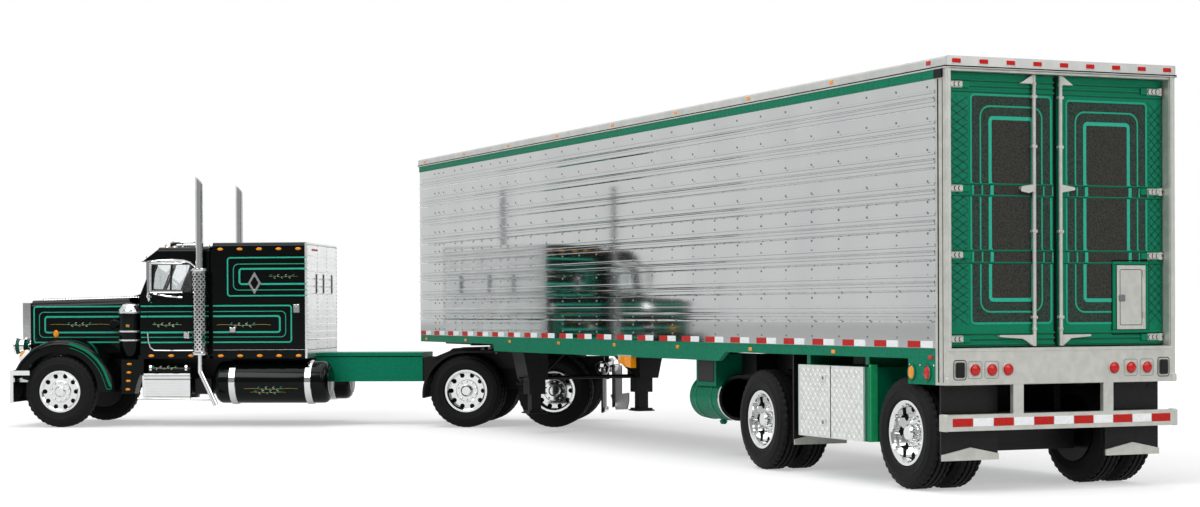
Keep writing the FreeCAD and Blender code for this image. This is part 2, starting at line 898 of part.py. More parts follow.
def build_underride_bumper():
    bar = block("underride_bar", 0, S.bumper_bar_depth, -S.bumper_half_width, S.bumper_half_width,
                S.bumper_bar_bottom, S.bumper_bar_bottom + S.bumper_bar_height)
    post = block("underride_post", 0, S.bumper_post_depth,
                 S.bumper_post_offset - S.bumper_post_width / 2,
                 S.bumper_post_offset + S.bumper_post_width / 2,
                 S.bumper_bar_bottom, S.sill_bottom)
    trailer_node("underride_bumper", [union("underride", [bar] + pair("underride_post", post))])


def build_flap(name, x, top):
    """A mud flap with a weight strip along its lower edge, peaked in the middle."""
    flap = block(name, x, x + S.flap_thickness, S.flap_inner, S.flap_outer, S.flap_bottom, top)
    middle = (S.flap_inner + S.flap_outer) / 2
    weight = profile(name + "_weight", "YZ_Plane", [
        (S.flap_inner, S.flap_bottom), (S.flap_outer, S.flap_bottom),
        (S.flap_outer, S.flap_bottom + S.flap_weight_height),
        (middle, S.flap_bottom + S.flap_weight_height + S.flap_weight_peak),
        (S.flap_inner, S.flap_bottom + S.flap_weight_height),
    ], x - S.flap_weight_thickness, x)
    return flap, weight


def build_trailer_flaps():
    flaps = []
    weights = []
    for name, x in (("rear_flap", S.rear_flap_x), ("front_flap", S.front_flap_x)):
        flap, weight = build_flap(name, x, floor_bottom)
        flaps += pair(name, flap)
        weights += pair(name + "_weight", weight)
    trailer_node("trailer_mud_flaps", flaps)
    trailer_node("trailer_flap_weights", weights)


# ---------------------------------------------------------------- under the trailer


def build_tool_boxes():
    """A box between the axles on each side, with a tread-plate door on its face."""
    rear = S.box_centre - S.box_length / 2 - S.box_frame_width
    front = S.box_centre + S.box_length / 2 + S.box_frame_width / 2
    inner = half_width - S.box_door_thickness - S.box_depth
    outer = half_width - S.box_door_thickness
    box = block("tool_box", rear, front, inner, outer, S.box_bottom, S.box_top)
    straps = []
    for i, x in enumerate((rear + S.box_frame_width, front - S.box_frame_width - S.box_strap_width)):
        straps.append(block("tool_box_strap_%d" % i, x, x + S.box_strap_width, inner, outer - S.wall,
                            S.box_top, floor_bottom))
    trailer_node("tool_boxes", pair("tool_box", union("tool_box_body", [box] + straps)))
    door = block("tool_box_door", S.box_centre - S.box_length / 2, S.box_centre + S.box_length / 2,
                 outer, half_width, S.box_bottom, S.box_top)
    trailer_node("tool_box_doors", pair("tool_box_door", door))


def build_trailer_tank():
    """A short reservoir with a dished rear end under a hanger with a sunk face."""
    rim = S.tank_radius - S.tank_rim
    hub = S.tank_hub_radius
    shell = turned("trailer_tank_shell", "XY_Plane", [
        (0, S.tank_radius), (0, rim), (S.tank_dish_depth, hub * 2), (S.tank_dish_depth, hub),
        (S.tank_rim, hub), (S.tank_rim, 0), (S.tank_length, 0), (S.tank_length, rim),
        (S.tank_length - S.tank_rim, S.tank_radius),
    ], "H_Axis", S.tank_rear, S.tank_side, S.tank_height)
    rear = S.tank_rear + S.tank_hanger_inset
    front = rear + S.tank_hanger_length
    outer = S.tank_side + S.tank_radius
    wall = S.tank_hanger_wall
    top = floor_bottom - S.crossmember_depth
    hanger = block("tank_hanger", rear, front, S.tank_side - S.tank_radius, outer,
                   S.tank_hanger_bottom, top)
    recess = block("tank_hanger_recess", rear + wall, front - wall, outer - S.tank_hanger_recess,
                   outer + S.overrun, S.tank_hanger_bottom + wall, top - wall)
    hanger = minus("tank_hanger_body", hanger, [recess])
    drain = rod("tank_drain", "z", S.tank_rim, S.tank_height - S.tank_radius - S.tank_rim,
                S.tank_height, S.tank_rear + S.tank_length / 2, S.tank_side)
    trailer_node("trailer_tank", [union("trailer_tank_body", [shell, hanger, drain])])


def build_landing_gear():
    """Two square legs with feet, their brackets and the cross shaft."""
    top = floor_bottom - S.crossmember_depth
    foot_top = S.leg_foot_bottom + S.leg_foot_height
    half = S.leg_width / 2
    inner_half = S.leg_inner_width / 2
    foot_half = S.leg_foot_width / 2
    x = kingpin_x - S.leg_setback
    y = S.leg_side
    parts = [
        block("leg_tube", x - half, x + half, y - half, y + half, S.leg_split, top),
        block("leg_ram", x - inner_half, x + inner_half, y - inner_half, y + inner_half,
              S.leg_foot_bottom, S.leg_split),
        block("leg_foot", x - foot_half, x + foot_half, y - foot_half, y + foot_half,
              S.leg_foot_bottom, foot_top),
        block("leg_post", x - half, x + half, y - half, y + half, top, floor_bottom),
        profile("leg_bracket", "YZ_Plane", [
            (y - half, top - S.leg_bracket_height), (y + S.leg_bracket_foot, top - S.leg_bracket_height),
            (y + S.leg_bracket_reach, top), (y - half, top),
        ], x - S.leg_bracket_length / 2, x + S.leg_bracket_length / 2),
    ]
    leg = union("leg", parts)
    shaft = rod("leg_shaft", "y", S.leg_shaft_radius, -y, y, x, S.leg_shaft_height)
    trailer_node("landing_gear", [union("landing_gear_body", pair("leg", leg) + [shaft])])


def pin_bore(name, x):
    return rod(name, "y", S.pin_radius + S.running_gap, -half_width, half_width, x, S.tyre_radius)


def build_trailer_subframe():
    """Two long rails, an axle hanger under each and the fixed axle tubes."""
    top = floor_bottom
    outer = S.subframe_side + S.subframe_width
    reach = S.trailer_track_outer - S.tyre_width * 2 - S.twin_gap - S.twin_gap
    parts = pair("subframe_rail", block("subframe_rail", S.subframe_rear, S.subframe_front,
                                        S.subframe_side, outer, S.subframe_bottom, top))
    bores = []
    low = S.tyre_radius - S.axle_tube_radius
    for i, x in enumerate((S.rear_axle_setback, S.front_axle_setback)):
        hanger = block("hanger_%d" % i, x - S.hanger_length / 2, x + S.hanger_length / 2,
                       S.subframe_side, outer, low, S.subframe_bottom)
        parts += pair("hanger_%d" % i, hanger)
        parts.append(rod("trailer_axle_tube_%d" % i, "y", S.axle_tube_radius, -reach, reach, x,
                         S.tyre_radius))
        parts.append(block("trailer_axle_beam_%d" % i, x - S.beam_half_length,
                           x + S.beam_half_length, -S.beam_half_width, S.beam_half_width,
                           S.beam_bottom, S.beam_top))
        parts.append(block("subframe_cross_%d" % i, x - S.crossmember_length / 2,
                           x + S.crossmember_length / 2, -outer, outer, S.subframe_bottom,
                           S.subframe_bottom + S.crossmember_length))
        bores.append(pin_bore("trailer_pin_bore_%d" % i, x))
    parts += pair("front_hanger", block(
        "front_hanger", S.front_hanger_rear, S.front_hanger_rear + S.front_hanger_length,
        S.subframe_side, S.front_hanger_outer, S.front_hanger_bottom,
        floor_bottom - S.crossmember_depth))
    parts.append(block("subframe_bulkhead", S.bulkhead_x, S.bulkhead_x + S.bulkhead_thickness,
                       -S.beam_half_width, S.beam_half_width, S.beam_bottom, top))
    frame = minus("subframe_bored", union("subframe", parts), bores)
    trailer_node("trailer_subframe", [frame])


# ---------------------------------------------------------------- wheels


def tyre_points():
    """Half section of a tyre as radius and width: bulged walls, round shoulders, flat tread."""
    half = S.tyre_width / 2
    radius = S.tyre_radius
    shoulder = S.tyre_shoulder
    wall = half - S.sidewall_inset
    return [
        (S.bead_radius, -wall, S.sidewall_bend), (radius - shoulder, -wall, shoulder),
        (radius, shoulder - half), (radius, half - shoulder, shoulder),
        (radius - shoulder, wall, S.sidewall_bend), (S.bead_radius, wall),
    ]


def outer_rim_points(dish, hub_length):
    """Half section of the outer rim: barrel, lip, disc, lug flange and hub."""
    face = S.tyre_width / 2 - S.tyre_shoulder / 2
    disc_out = face - dish
    disc_in = disc_out - S.rim_wall
    flange = disc_out + S.flange_height
    lip = S.bead_radius - S.rim_lip
    well = lip - S.rim_wall
    hub = S.hub_radius
    bevel = S.hub_cap_bevel
    return [
        (0, disc_in - S.hub_length), (hub, disc_in - S.hub_length),
        (hub, disc_in), (well, disc_in), (well, -face),
        (S.bead_radius, -face), (S.bead_radius, face), (lip, face),
        (well, face - bevel), (well, disc_out), (S.flange_radius, disc_out),
        (S.flange_radius - bevel / 2, flange), (hub, flange),
        (hub, flange + hub_length - bevel), (hub - bevel, flange + hub_length),
        (0, flange + hub_length),
    ]


def build_axle(prefix, x, track_outer, twin, wrap):
    """The pin, its rims and its tyres, all turning together."""
    half = S.tyre_width / 2
    outer_y = track_outer - half
    inner_y = outer_y - S.tyre_width - S.twin_gap
    stations = [outer_y, inner_y] if twin else [outer_y]
    tyres = []
    rims = []
    for i, y in enumerate(stations):
        tyre = turned("%s_tyre_%d" % (prefix, i), "XY_Plane", tyre_points(), "V_Axis", x, y,
                      S.tyre_radius)
        tyres += pair("%s_tyre_%d" % (prefix, i), tyre)
    dish = S.dish_depth if twin else S.steer_dish_depth
    hub_length = S.hub_length if twin else S.steer_hub_length
    rim = turned(prefix + "_rim", "XY_Plane", outer_rim_points(dish, hub_length), "V_Axis",
                 x, outer_y, S.tyre_radius)
    holes = []
    for i in range(HAND_HOLES):
        angle = math.radians(360 / HAND_HOLES * i)
        holes.append(rod("%s_hand_hole_%d" % (prefix, i), "y", S.hand_hole_radius,
                         outer_y - S.tyre_width, outer_y + S.tyre_width,
                         x + S.hand_hole_circle * math.cos(angle),
                         S.tyre_radius + S.hand_hole_circle * math.sin(angle)))
    rims.append(minus(prefix + "_rim_holed", rim, holes))
    if twin:
        well = S.bead_radius - S.rim_lip - S.rim_wall
        face = half - S.tyre_shoulder / 2
        inner = turned(prefix + "_inner_rim", "XY_Plane", [
            (0, -S.rim_wall), (well, -S.rim_wall), (well, -face), (S.bead_radius, -face),
            (S.bead_radius, face + S.twin_gap + S.tyre_shoulder),
            (well, face + S.twin_gap + S.tyre_shoulder), (well, 0), (0, 0),
        ], "V_Axis", x, inner_y, S.tyre_radius)
        rims.append(inner)
    wheel = union(prefix + "_wheel", rims) if len(rims) > 1 else rims[0]
    pin = rod(prefix + "_pin", "y", S.pin_radius, -outer_y, outer_y, x, S.tyre_radius)
    wheels = union(prefix + "_wheelset", pair(prefix + "_wheel", wheel) + [pin])
    wrap(prefix + "_tyres", tyres)
    wrap(prefix + "_wheels", [wheels])


# ---------------------------------------------------------------- tractor chassis


fifth_top = coupler_bottom - S.running_gap
fifth_bottom = fifth_top - S.fifth_thickness
fifth_pivot_z = fifth_bottom - S.fifth_pivot_drop


def build_fifth_wheel():
    """The turntable plate with its throat and its two pivot ears."""
    plate = rod("fifth_plate", "z", S.fifth_radius, fifth_bottom, fifth_top, 0, 0)
    throat = profile("fifth_throat", "XY_Plane", [
        (-S.fifth_radius - S.overrun, -S.fifth_throat_width * 3 / 2),
        (0, -S.kingpin_radius - S.running_gap),
        (0, S.kingpin_radius + S.running_gap),
        (-S.fifth_radius - S.overrun, S.fifth_throat_width * 3 / 2),
    ], fifth_bottom - S.overrun, fifth_top + S.overrun)
    bore = rod("fifth_bore", "z", S.kingpin_radius + S.running_gap,
               fifth_bottom - S.overrun, fifth_top + S.overrun, 0, 0)
    ears = []
    for side, sign in SIDES.items():
        y = S.frame_side / 2 * sign
        low = y - S.fifth_bracket_width / 2
        high = y + S.fifth_bracket_width / 2
        ears.append(rod("fifth_ear_" + side, "y", S.fifth_pivot_drop, low, high,
                        0, fifth_pivot_z))
        ears.append(block("fifth_ear_root_" + side, -S.fifth_pivot_drop, S.fifth_pivot_drop,
                          low, high, fifth_pivot_z, fifth_bottom + S.fifth_thickness / 2))
    holes = [rod("fifth_ear_bore", "y", S.fifth_pivot_radius + S.running_gap,
                 -S.frame_side, S.frame_side, 0, fifth_pivot_z)]
    body = minus("fifth_body", union("fifth_solid", [plate] + ears), [throat, bore] + holes)
    tractor_node("fifth_wheel", [body])


def build_frame():
    """Two rails with cross members and the brackets that carry the fifth wheel."""
    inner = S.frame_side - S.frame_thickness
    rail = block("frame_rail", -S.frame_rear, S.frame_front, inner, S.frame_side,
                 S.frame_bottom, S.frame_top)
    parts = pair("frame_rail", rail)
    cross_shares = (-0.95, 0.14, 0.25, 0.45, 0.62, 0.78, 0.97)
    for i, share in enumerate(cross_shares):
        x = S.frame_rear * share if share < 0 else S.frame_front * share
        parts.append(block("frame_cross_%d" % i, x - S.crossmember_length / 2,
                           x + S.crossmember_length / 2, -inner, inner,
                           S.frame_bottom + S.frame_flange, S.frame_top - S.frame_flange))
    bracket_in = S.frame_side / 2 + S.fifth_bracket_width / 2 + S.running_gap
    bracket = block("fifth_bracket", -S.fifth_bracket_length / 2, S.fifth_bracket_length / 2,
                    bracket_in, S.frame_side, S.frame_top, fifth_pivot_z)
    parts += pair("fifth_bracket", bracket)
    pivot = rod("fifth_pivot", "y", S.fifth_pivot_radius,
                S.frame_side / 2 - S.fifth_bracket_width, S.frame_side, 0, fifth_pivot_z)
    parts += pair("fifth_pivot", pivot)
    tractor_node("frame_rails", [union("frame", parts)])


def build_frame_covers():
    """The painted deck behind the sleeper with a cover sheet down each rail."""
    outer = S.frame_side + S.cover_thickness
    deck = block("deck_plate", S.deck_rear, S.sleeper_rear, -outer, outer,
                 S.frame_top, S.frame_top + S.deck_thickness)
    sheet = block("rail_cover", S.deck_rear, S.sleeper_rear, S.frame_side, outer,
                  S.frame_bottom, S.frame_top)
    tractor_node("frame_covers", [union("covers", [deck] + pair("rail_cover", sheet))])


def build_axle_carriers():
    """The drive axle tubes with their springs, and the steer beam with its springs."""
    inner = S.frame_side - S.frame_thickness
    reach = S.drive_track_outer - S.tyre_width * 2 - S.twin_gap * 2
    parts = []
    bores = []
    for i, sign in enumerate((1, -1)):
        x = S.drive_axle_offset * sign
        parts.append(rod("drive_tube_%d" % i, "y", S.axle_tube_radius, -reach, reach, x,
                         S.tyre_radius))
        parts.append(rod("drive_bowl_%d" % i, "x", S.axle_tube_radius * 2,
                         x - S.axle_tube_radius, x + S.axle_tube_radius, 0, S.tyre_radius))
        bores.append(rod("drive_bore_%d" % i, "y", S.pin_radius + S.running_gap,
                         -half_width, half_width, x, S.tyre_radius))
    beam = block("walking_beam", -S.drive_axle_offset - S.suspension_width,
                 S.drive_axle_offset + S.suspension_width, inner - S.frame_thickness, inner,
                 S.tyre_radius, S.frame_bottom + S.frame_flange)
    parts += pair("walking_beam", beam)
    tractor_node("drive_axle_tubes", [minus("drive_tubes_bored", union("drive_tubes", parts), bores)])
    reach = S.steer_track_outer - S.tyre_width - S.twin_gap
    beam = block("steer_beam", S.steer_axle_reach - S.steer_beam_width / 2,
                 S.steer_axle_reach + S.steer_beam_width / 2, -reach, reach,
                 S.tyre_radius - S.steer_beam_width / 2, S.tyre_radius + S.steer_beam_width / 2)
    spring = block("front_spring", S.steer_axle_reach - S.tyre_radius,
                   S.steer_axle_reach + S.frame_rear / 4, inner, S.frame_side, S.tyre_radius + S.steer_beam_width / 2, S.frame_bottom)
    bore = rod("steer_bore", "y", S.pin_radius + S.running_gap, -half_width, half_width,
               S.steer_axle_reach, S.tyre_radius)
    parts = union("steer_solid", [beam] + pair("front_spring", spring))
    tractor_node("steer_axle_beam", [minus("steer_bored", parts, [bore])])


stack_u = S.sleeper_front + S.stack_forward
stack_v = S.cab_half_width + S.shield_radius + S.stack_clearance
tank_front = stack_u - S.fuel_tank_gap
step_rear = stack_u + S.shield_radius + S.step_box_gap
step_front = step_rear + S.step_box_length


def build_tanks():
    """Two round fuel tanks with domed ends and two straps each."""
    radius = S.fuel_tank_radius
    dome = S.fuel_tank_dome
    length = S.fuel_tank_length
    rear = tank_front - length
    tank = turned("fuel_tank", "XY_Plane", [
        (0, 0), (length, 0), (length, radius - dome), (length - dome, radius),
        (dome, radius), (0, radius - dome),
    ], "H_Axis", rear, S.fuel_tank_v, S.fuel_tank_height)
    inner = rod("fuel_tank_saddle", "y", dome, S.frame_side, S.fuel_tank_v,
                rear + length / 3, S.fuel_tank_height)
    other = rod("fuel_tank_saddle_front", "y", dome, S.frame_side, S.fuel_tank_v,
                tank_front - length / 3, S.fuel_tank_height)
    tractor_node("fuel_tanks", pair("fuel_tank", union("fuel_tank_body", [tank, inner, other])))
    straps = []
    low = radius + S.running_gap
    for i, x in enumerate((rear + S.fuel_strap_inset,
                           tank_front - S.fuel_strap_inset - S.fuel_strap_width)):
        ring = turned("fuel_strap_%d" % i, "XY_Plane", [
            (0, low), (S.fuel_strap_width, low),
            (S.fuel_strap_width, low + S.fuel_strap_thickness), (0, low + S.fuel_strap_thickness),
        ], "H_Axis", x, S.fuel_tank_v, S.fuel_tank_height)
        straps += pair("fuel_strap_%d" % i, ring)
    tractor_node("fuel_tank_straps", straps)


def build_step_boxes():
    """The polished boxes below the doors, a thin bar under them and a small air tank above."""
    box = block("step_box", step_rear, step_front, S.step_box_inner,
                S.step_box_outer, S.step_box_bottom, S.step_box_top)
    arm = block("step_box_arm", step_rear + S.crossmember_length,
                step_front - S.crossmember_length, S.frame_side, S.step_box_inner,
                S.frame_bottom, S.step_box_top)
    bar = rod("step_bar", "x", S.step_bar_radius, tank_front + S.step_bar_radius,
              step_front + S.step_box_gap, S.step_box_outer - S.step_bar_radius * 2,
              S.step_box_bottom)
    tractor_node("step_boxes", pair("step_box", union("step_box_body", [box, arm, bar])))
    tank = rod("step_air_tank", "x", S.air_tank_radius, step_rear + S.seat_gap,
               step_front - S.step_box_gap,
               S.air_tank_v, S.step_box_top + S.air_tank_radius + S.running_gap)
    tractor_node("step_air_tanks", pair("step_air_tank", tank))


# ---------------------------------------------------------------- cab and sleeper


def build_sleeper():
    """A hollow box, open where it meets the cab, with its window cut."""
    wall = S.cab_wall
    wide = S.cab_half_width
    panel = S.sleeper_panel_thickness
    shell = profile("sleeper_outer", "YZ_Plane", [
        (-wide, S.cab_bottom), (wide, S.cab_bottom), (wide, S.sleeper_top), (-wide, S.sleeper_top),
    ], S.sleeper_rear + panel, S.sleeper_front)
    soften(shell, S.sleeper_edge_radius,
           lambda edge: runs_along(edge, "x") and edge.CenterOfMass.z > number(S.cab_bottom) + CLOSE)
    hollow = block("sleeper_hollow", S.sleeper_rear + panel + wall, S.sleeper_front + S.overrun,
                   wall - wide, wide - wall, S.cab_bottom + wall, S.sleeper_top - wall)
    x = S.diamond_centre
    z = S.diamond_level
    window = profile("diamond_window", "XZ_Plane", [
        (x - S.diamond_width / 2, z), (x, z - S.diamond_height / 2),
        (x + S.diamond_width / 2, z), (x, z + S.diamond_height / 2),
    ], -wide - S.overrun, wide + S.overrun)
    tractor_node("sleeper_shell", [minus("sleeper", shell, [hollow, window])])
    rear = block("sleeper_rear_sheet", S.sleeper_rear, S.sleeper_rear + panel, -wide, wide,
                 S.cab_bottom, S.sleeper_top)
    tractor_node("sleeper_rear_panel", [rear])


windscreen_slope = (S.cab_front - S.cab_roof_front) / (S.cab_roof_top - S.cab_belt)


cab_rear = S.sleeper_front + S.boot_length


def cab_outline(inset):
    """The cab's side outline, drawn in by the inset."""
    return [
        (cab_rear, S.cab_bottom + inset),
        (S.cab_front - inset, S.cab_bottom + inset),
        (S.cab_front - inset, S.cab_belt),
        (S.cab_roof_front - inset, S.cab_roof_top - inset),
        (cab_rear, S.cab_roof_top - inset),
    ]


def cab_solids():
    """The outer cab, the boot behind it, the cowl ramp ahead and the two side skirts."""
    wide = S.cab_half_width
    outer = profile("cab_outer", "XZ_Plane", cab_outline(0), -wide, wide)
    soften(outer, S.cab_edge_radius,
           lambda edge: runs_along(edge, "x") and edge.CenterOfMass.z > number(S.cab_belt) + CLOSE)
    boot = block("boot", S.sleeper_front, cab_rear, S.boot_inset - wide, wide - S.boot_inset,
                 S.cab_bottom + S.boot_inset, S.cab_roof_top - S.boot_inset)
    low = S.hood_rear_top + S.seat_gap
    cowl = profile("cowl", "XZ_Plane", [
        (S.cab_front - S.cowl_length / 4, low), (S.cab_front + S.cowl_length, low),
        (S.cab_front + S.cowl_length, low + S.seat_gap, -S.cowl_bend),
        (S.cab_front - windscreen_slope * (S.cowl_top - S.cab_belt), S.cowl_top),
        (S.cab_front - S.cowl_length / 4, S.cowl_top - S.seat_gap),
    ], -S.cowl_half_width, S.cowl_half_width)
    front = S.cab_front + S.skirt_length
    riser = S.cab_front + S.air_cleaner_gap / 2
    skirt = profile("skirt", "XZ_Plane", [
        (S.cab_front + S.skirt_step, S.skirt_bottom), (front, S.skirt_bottom),
        (front, S.skirt_top), (riser, S.skirt_top), (riser, S.cab_bottom + S.cab_wall),
        (S.cab_front - S.cab_wall, S.cab_bottom + S.cab_wall),
        (S.cab_front - S.cab_wall, S.skirt_bottom + S.skirt_rise),
        (S.cab_front, S.skirt_bottom + S.skirt_rise, -S.skirt_bend),
    ], S.skirt_inner, wide)
    return [outer, boot, cowl] + pair("skirt", skirt)


def build_cab():
    """A hollow cab with its side windows and its split windscreen cut."""
    wall = S.cab_wall
    wide = S.cab_half_width
    inner = profile("cab_inner", "XZ_Plane", cab_outline(wall), wall - wide, wide - wall)
    passage = block("boot_passage", S.sleeper_front - S.overrun, cab_rear + S.overrun,
                    wall * 2 - wide, wide - wall * 2, S.cab_bottom + wall * 2,
                    S.cab_roof_top - wall * 2)
    side_window = profile("side_window_cut", "XZ_Plane", [
        (S.window_rear, S.window_bottom), (S.window_front, S.window_bottom),
        (S.window_front - S.wall, S.window_top), (S.window_rear, S.window_top),
    ], -wide - S.overrun, wide + S.overrun)
    screen = block("windscreen_cut", S.cab_roof_front - S.overrun * 2, S.cab_front + S.overrun,
                   S.windscreen_bar, S.windscreen_half_width, S.windscreen_bottom, S.windscreen_top)
    cuts = [inner, passage, side_window] + pair("windscreen_cut", screen)
    tractor_node("cab_shell", [minus("cab", union("cab_solid", cab_solids()), cuts)])


def build_cab_windows():
    """Clear panes set in the side windows and in the split windscreen."""
    wide = S.cab_half_width
    pane = profile("side_pane", "XZ_Plane", [
        (S.window_rear, S.window_bottom), (S.window_front, S.window_bottom),
        (S.window_front - S.wall, S.window_top), (S.window_rear, S.window_top),
    ], wide - S.cab_wall / 2 - S.glass_thickness, wide - S.cab_wall / 2)
    low = S.cab_front - windscreen_slope * (S.windscreen_bottom - S.cab_belt) - S.cab_wall / 2
    high = S.cab_front - windscreen_slope * (S.windscreen_top - S.cab_belt) - S.cab_wall / 2
    screen = profile("screen_pane", "XZ_Plane", [
        (low - S.glass_thickness, S.windscreen_bottom), (low, S.windscreen_bottom),
        (high, S.windscreen_top), (high - S.glass_thickness, S.windscreen_top),
    ], S.windscreen_bar, S.windscreen_half_width)
    tractor_node("cab_windows", pair("side_pane", pane) + pair("screen_pane", screen))


def build_hood():
    """A long tapering hood, hollow over the engine and open at both ends."""
    hood = doc.addObject("PartDesign::Body", "hood_body")
    sketches = []
    for name, x, wide, top in (
            ("rear", S.cab_front, S.hood_rear_half_width, S.hood_rear_top),
            ("front", S.hood_front, S.hood_front_half_width, S.hood_front_top)):
        sketch = draw_section(hood, "hood_" + name, wide, top, x)
        sketches.append(sketch)
    loft = hood.newObject("PartDesign::AdditiveLoft", "hood_loft")
    loft.Profile = sketches[0]
    loft.Sections = [sketches[1]]
    loft.Ruled = True
    hollow = block("hood_hollow", S.cab_front - S.overrun, S.hood_front + S.overrun,
                   S.hood_wall - S.hood_front_half_width, S.hood_front_half_width - S.hood_wall,
                   S.hood_bottom - S.overrun, S.hood_front_top - S.hood_edge_radius)
    tractor_node("hood", [minus("hood_shell", hood, [hollow])])


def draw_section(body, name, wide, top, x):
    """A section of the hood with rounded upper corners, set off from the YZ plane."""
    round_off = S.hood_edge_radius
    points = [
        (-wide, S.hood_bottom), (wide, S.hood_bottom), (wide, top - round_off, round_off),
        (wide - round_off, top), (round_off - wide, top, round_off), (-wide, top - round_off),
    ]
    sketch = draw(body, "YZ_Plane", points)
    bind(sketch, "AttachmentOffset.Base.z", x)
    return sketch


def build_grille():
    """The upright radiator shell with its vertical bars."""
    back = S.hood_front
    front = back + S.grille_depth
    wide = S.hood_front_half_width + S.grille_border / 2
    shell = block("grille_shell", back, front, -wide, wide, S.grille_bottom, S.grille_top)
    opening = block("grille_opening", back - S.overrun, front + S.overrun,
                    S.grille_border - wide, wide - S.grille_border,
                    S.grille_bottom + S.grille_border, S.grille_top - S.grille_border)
    frame = minus("grille_frame", shell, [opening])
    parts = [frame]
    count = GRILLE_BARS
    inner = wide - S.grille_border
    for i in range(count):
        y = inner * ((2 * i + 2) / (count + 1) - 1)
        parts.append(block("grille_bar_%d" % i, back + S.grille_depth / 3,
                           front - S.grille_depth / 3, y - S.grille_bar_width / 2,
                           y + S.grille_bar_width / 2, S.grille_bottom + S.grille_border / 2,
                           S.grille_top - S.grille_border / 2))
    tractor_node("grille", [union("grille_body", parts)])


def build_front_bumper():
    """A deep bumper swept back at its ends, with a rolled lip along each upper corner."""
    front = S.front_bumper_front
    end = front - S.front_bumper_sweep
    wall = S.front_bumper_wall
    wide = S.front_bumper_half_width
    flat = S.front_bumper_flat
    bumper = profile("front_bumper_body", "XY_Plane", [
        (front, -flat), (front, flat), (end, wide), (end - wall, wide), (front - wall, flat),
        (front - wall, -flat), (end - wall, -wide), (end, -wide),
    ], S.front_bumper_bottom, S.front_bumper_top)
    lip = block("bumper_lip", end - S.front_bumper_return, end - wall / 2,
                wide - S.bumper_lip_thickness, wide,
                S.front_bumper_top - S.bumper_lip_height, S.front_bumper_top)
    mount = block("bumper_mount", S.frame_front, front - wall, S.frame_side - S.frame_thickness,
                  S.frame_side, S.frame_bottom, S.front_bumper_top)
    parts = [bumper] + pair("bumper_lip", lip) + pair("bumper_mount", mount)
    tractor_node("front_bumper", [union("front_bumper_all", parts)])


def arch_run(radius, level):
    """How far an arch of this radius reaches from the axle's line at a level."""
    rise = level - S.tyre_radius
    return root(radius * radius - rise * rise)


def build_fenders():
    """Swept front fenders: a crowned arch over each steer tyre, fitted to the hood's side."""
    x = S.steer_axle_reach
    outer = S.fender_radius
    inner = S.fender_opening_radius
    rear = S.fender_rear_bottom
    front = S.fender_front_bottom
    reach = S.fender_tail_reach
    sweep = sweep_radius(reach, S.tyre_radius + outer - rear)
    arch = profile("fender_arch", "XZ_Plane", [
        (x - reach, rear), (x - arch_run(inner, rear), rear, -inner),
        (x + arch_run(inner, front), front), (x + arch_run(outer, front), front, outer),
        (x, S.tyre_radius + outer, sweep),
    ], S.fender_inner, S.fender_outer)
    radii = (number(outer), number(sweep))
    soften(arch, S.fender_crown, lambda edge: is_outer_arc(edge, radii))
    beside = profile("hood_side_clearance", "XY_Plane", [
        (S.cab_front, 0), (S.hood_front, 0), (S.hood_front, S.hood_front_half_width + S.running_gap),
        (S.cab_front, S.hood_rear_half_width + S.running_gap),
    ], S.fender_rear_bottom - S.overrun, S.hood_rear_top)
    tractor_node("front_fenders", pair("fender", minus("fender", arch, [beside])))


def is_outer_arc(edge, radii):
    """Whether an edge is one of the big arcs on the face at the body's own origin."""
    if not isinstance(edge.Curve, Part.Circle) or abs(edge.CenterOfMass.y) > CLOSE:
        return False
    return min(abs(edge.Curve.Radius - radius) for radius in radii) < CLOSE


def build_headlamps():
    lamp = rod("headlamp", "x", S.headlamp_radius, S.hood_front, S.hood_front + S.headlamp_depth,
               S.headlamp_side, S.headlamp_height)
    arm = rod("headlamp_arm", "y", S.headlamp_radius / 3,
              S.hood_front_half_width + S.grille_border / 2, S.headlamp_side,
              S.hood_front + S.headlamp_depth / 2, S.headlamp_height)
    tractor_node("headlamps", pair("headlamp", union("headlamp_body", [lamp, arm])))


def build_air_cleaners():
    """A round can with a domed cap on each side of the cowl, standing on the skirt."""
    radius = S.air_cleaner_radius
    cap = S.air_cleaner_cap_radius
    low = S.skirt_top + S.seat_gap
    height = S.air_cleaner_top - low
    dome = S.air_cleaner_dome
    x = S.cab_front + S.air_cleaner_gap + radius
    can = turned("air_cleaner_can", "XZ_Plane", [
        (0, 0), (S.air_cleaner_foot_radius, 0), (radius, S.air_cleaner_taper),
        (radius, height - dome, dome * 3 / 2), (cap, height), (0, height),
    ], "V_Axis", x, S.air_cleaner_v, low)
    reach = x + radius + S.intake_reach
    duct = rod("intake_duct", "x", S.intake_radius, x, reach, S.intake_v, S.intake_level)
    mouth = rod("intake_mouth", "y", S.intake_mouth_radius, intake_inner,
                S.intake_v + S.intake_mouth_radius, reach, S.intake_level)
    tractor_node("air_cleaners", pair("air_cleaner", union("air_cleaner", [can, duct, mouth])))


intake_inner = S.hood_rear_half_width + S.seat_gap


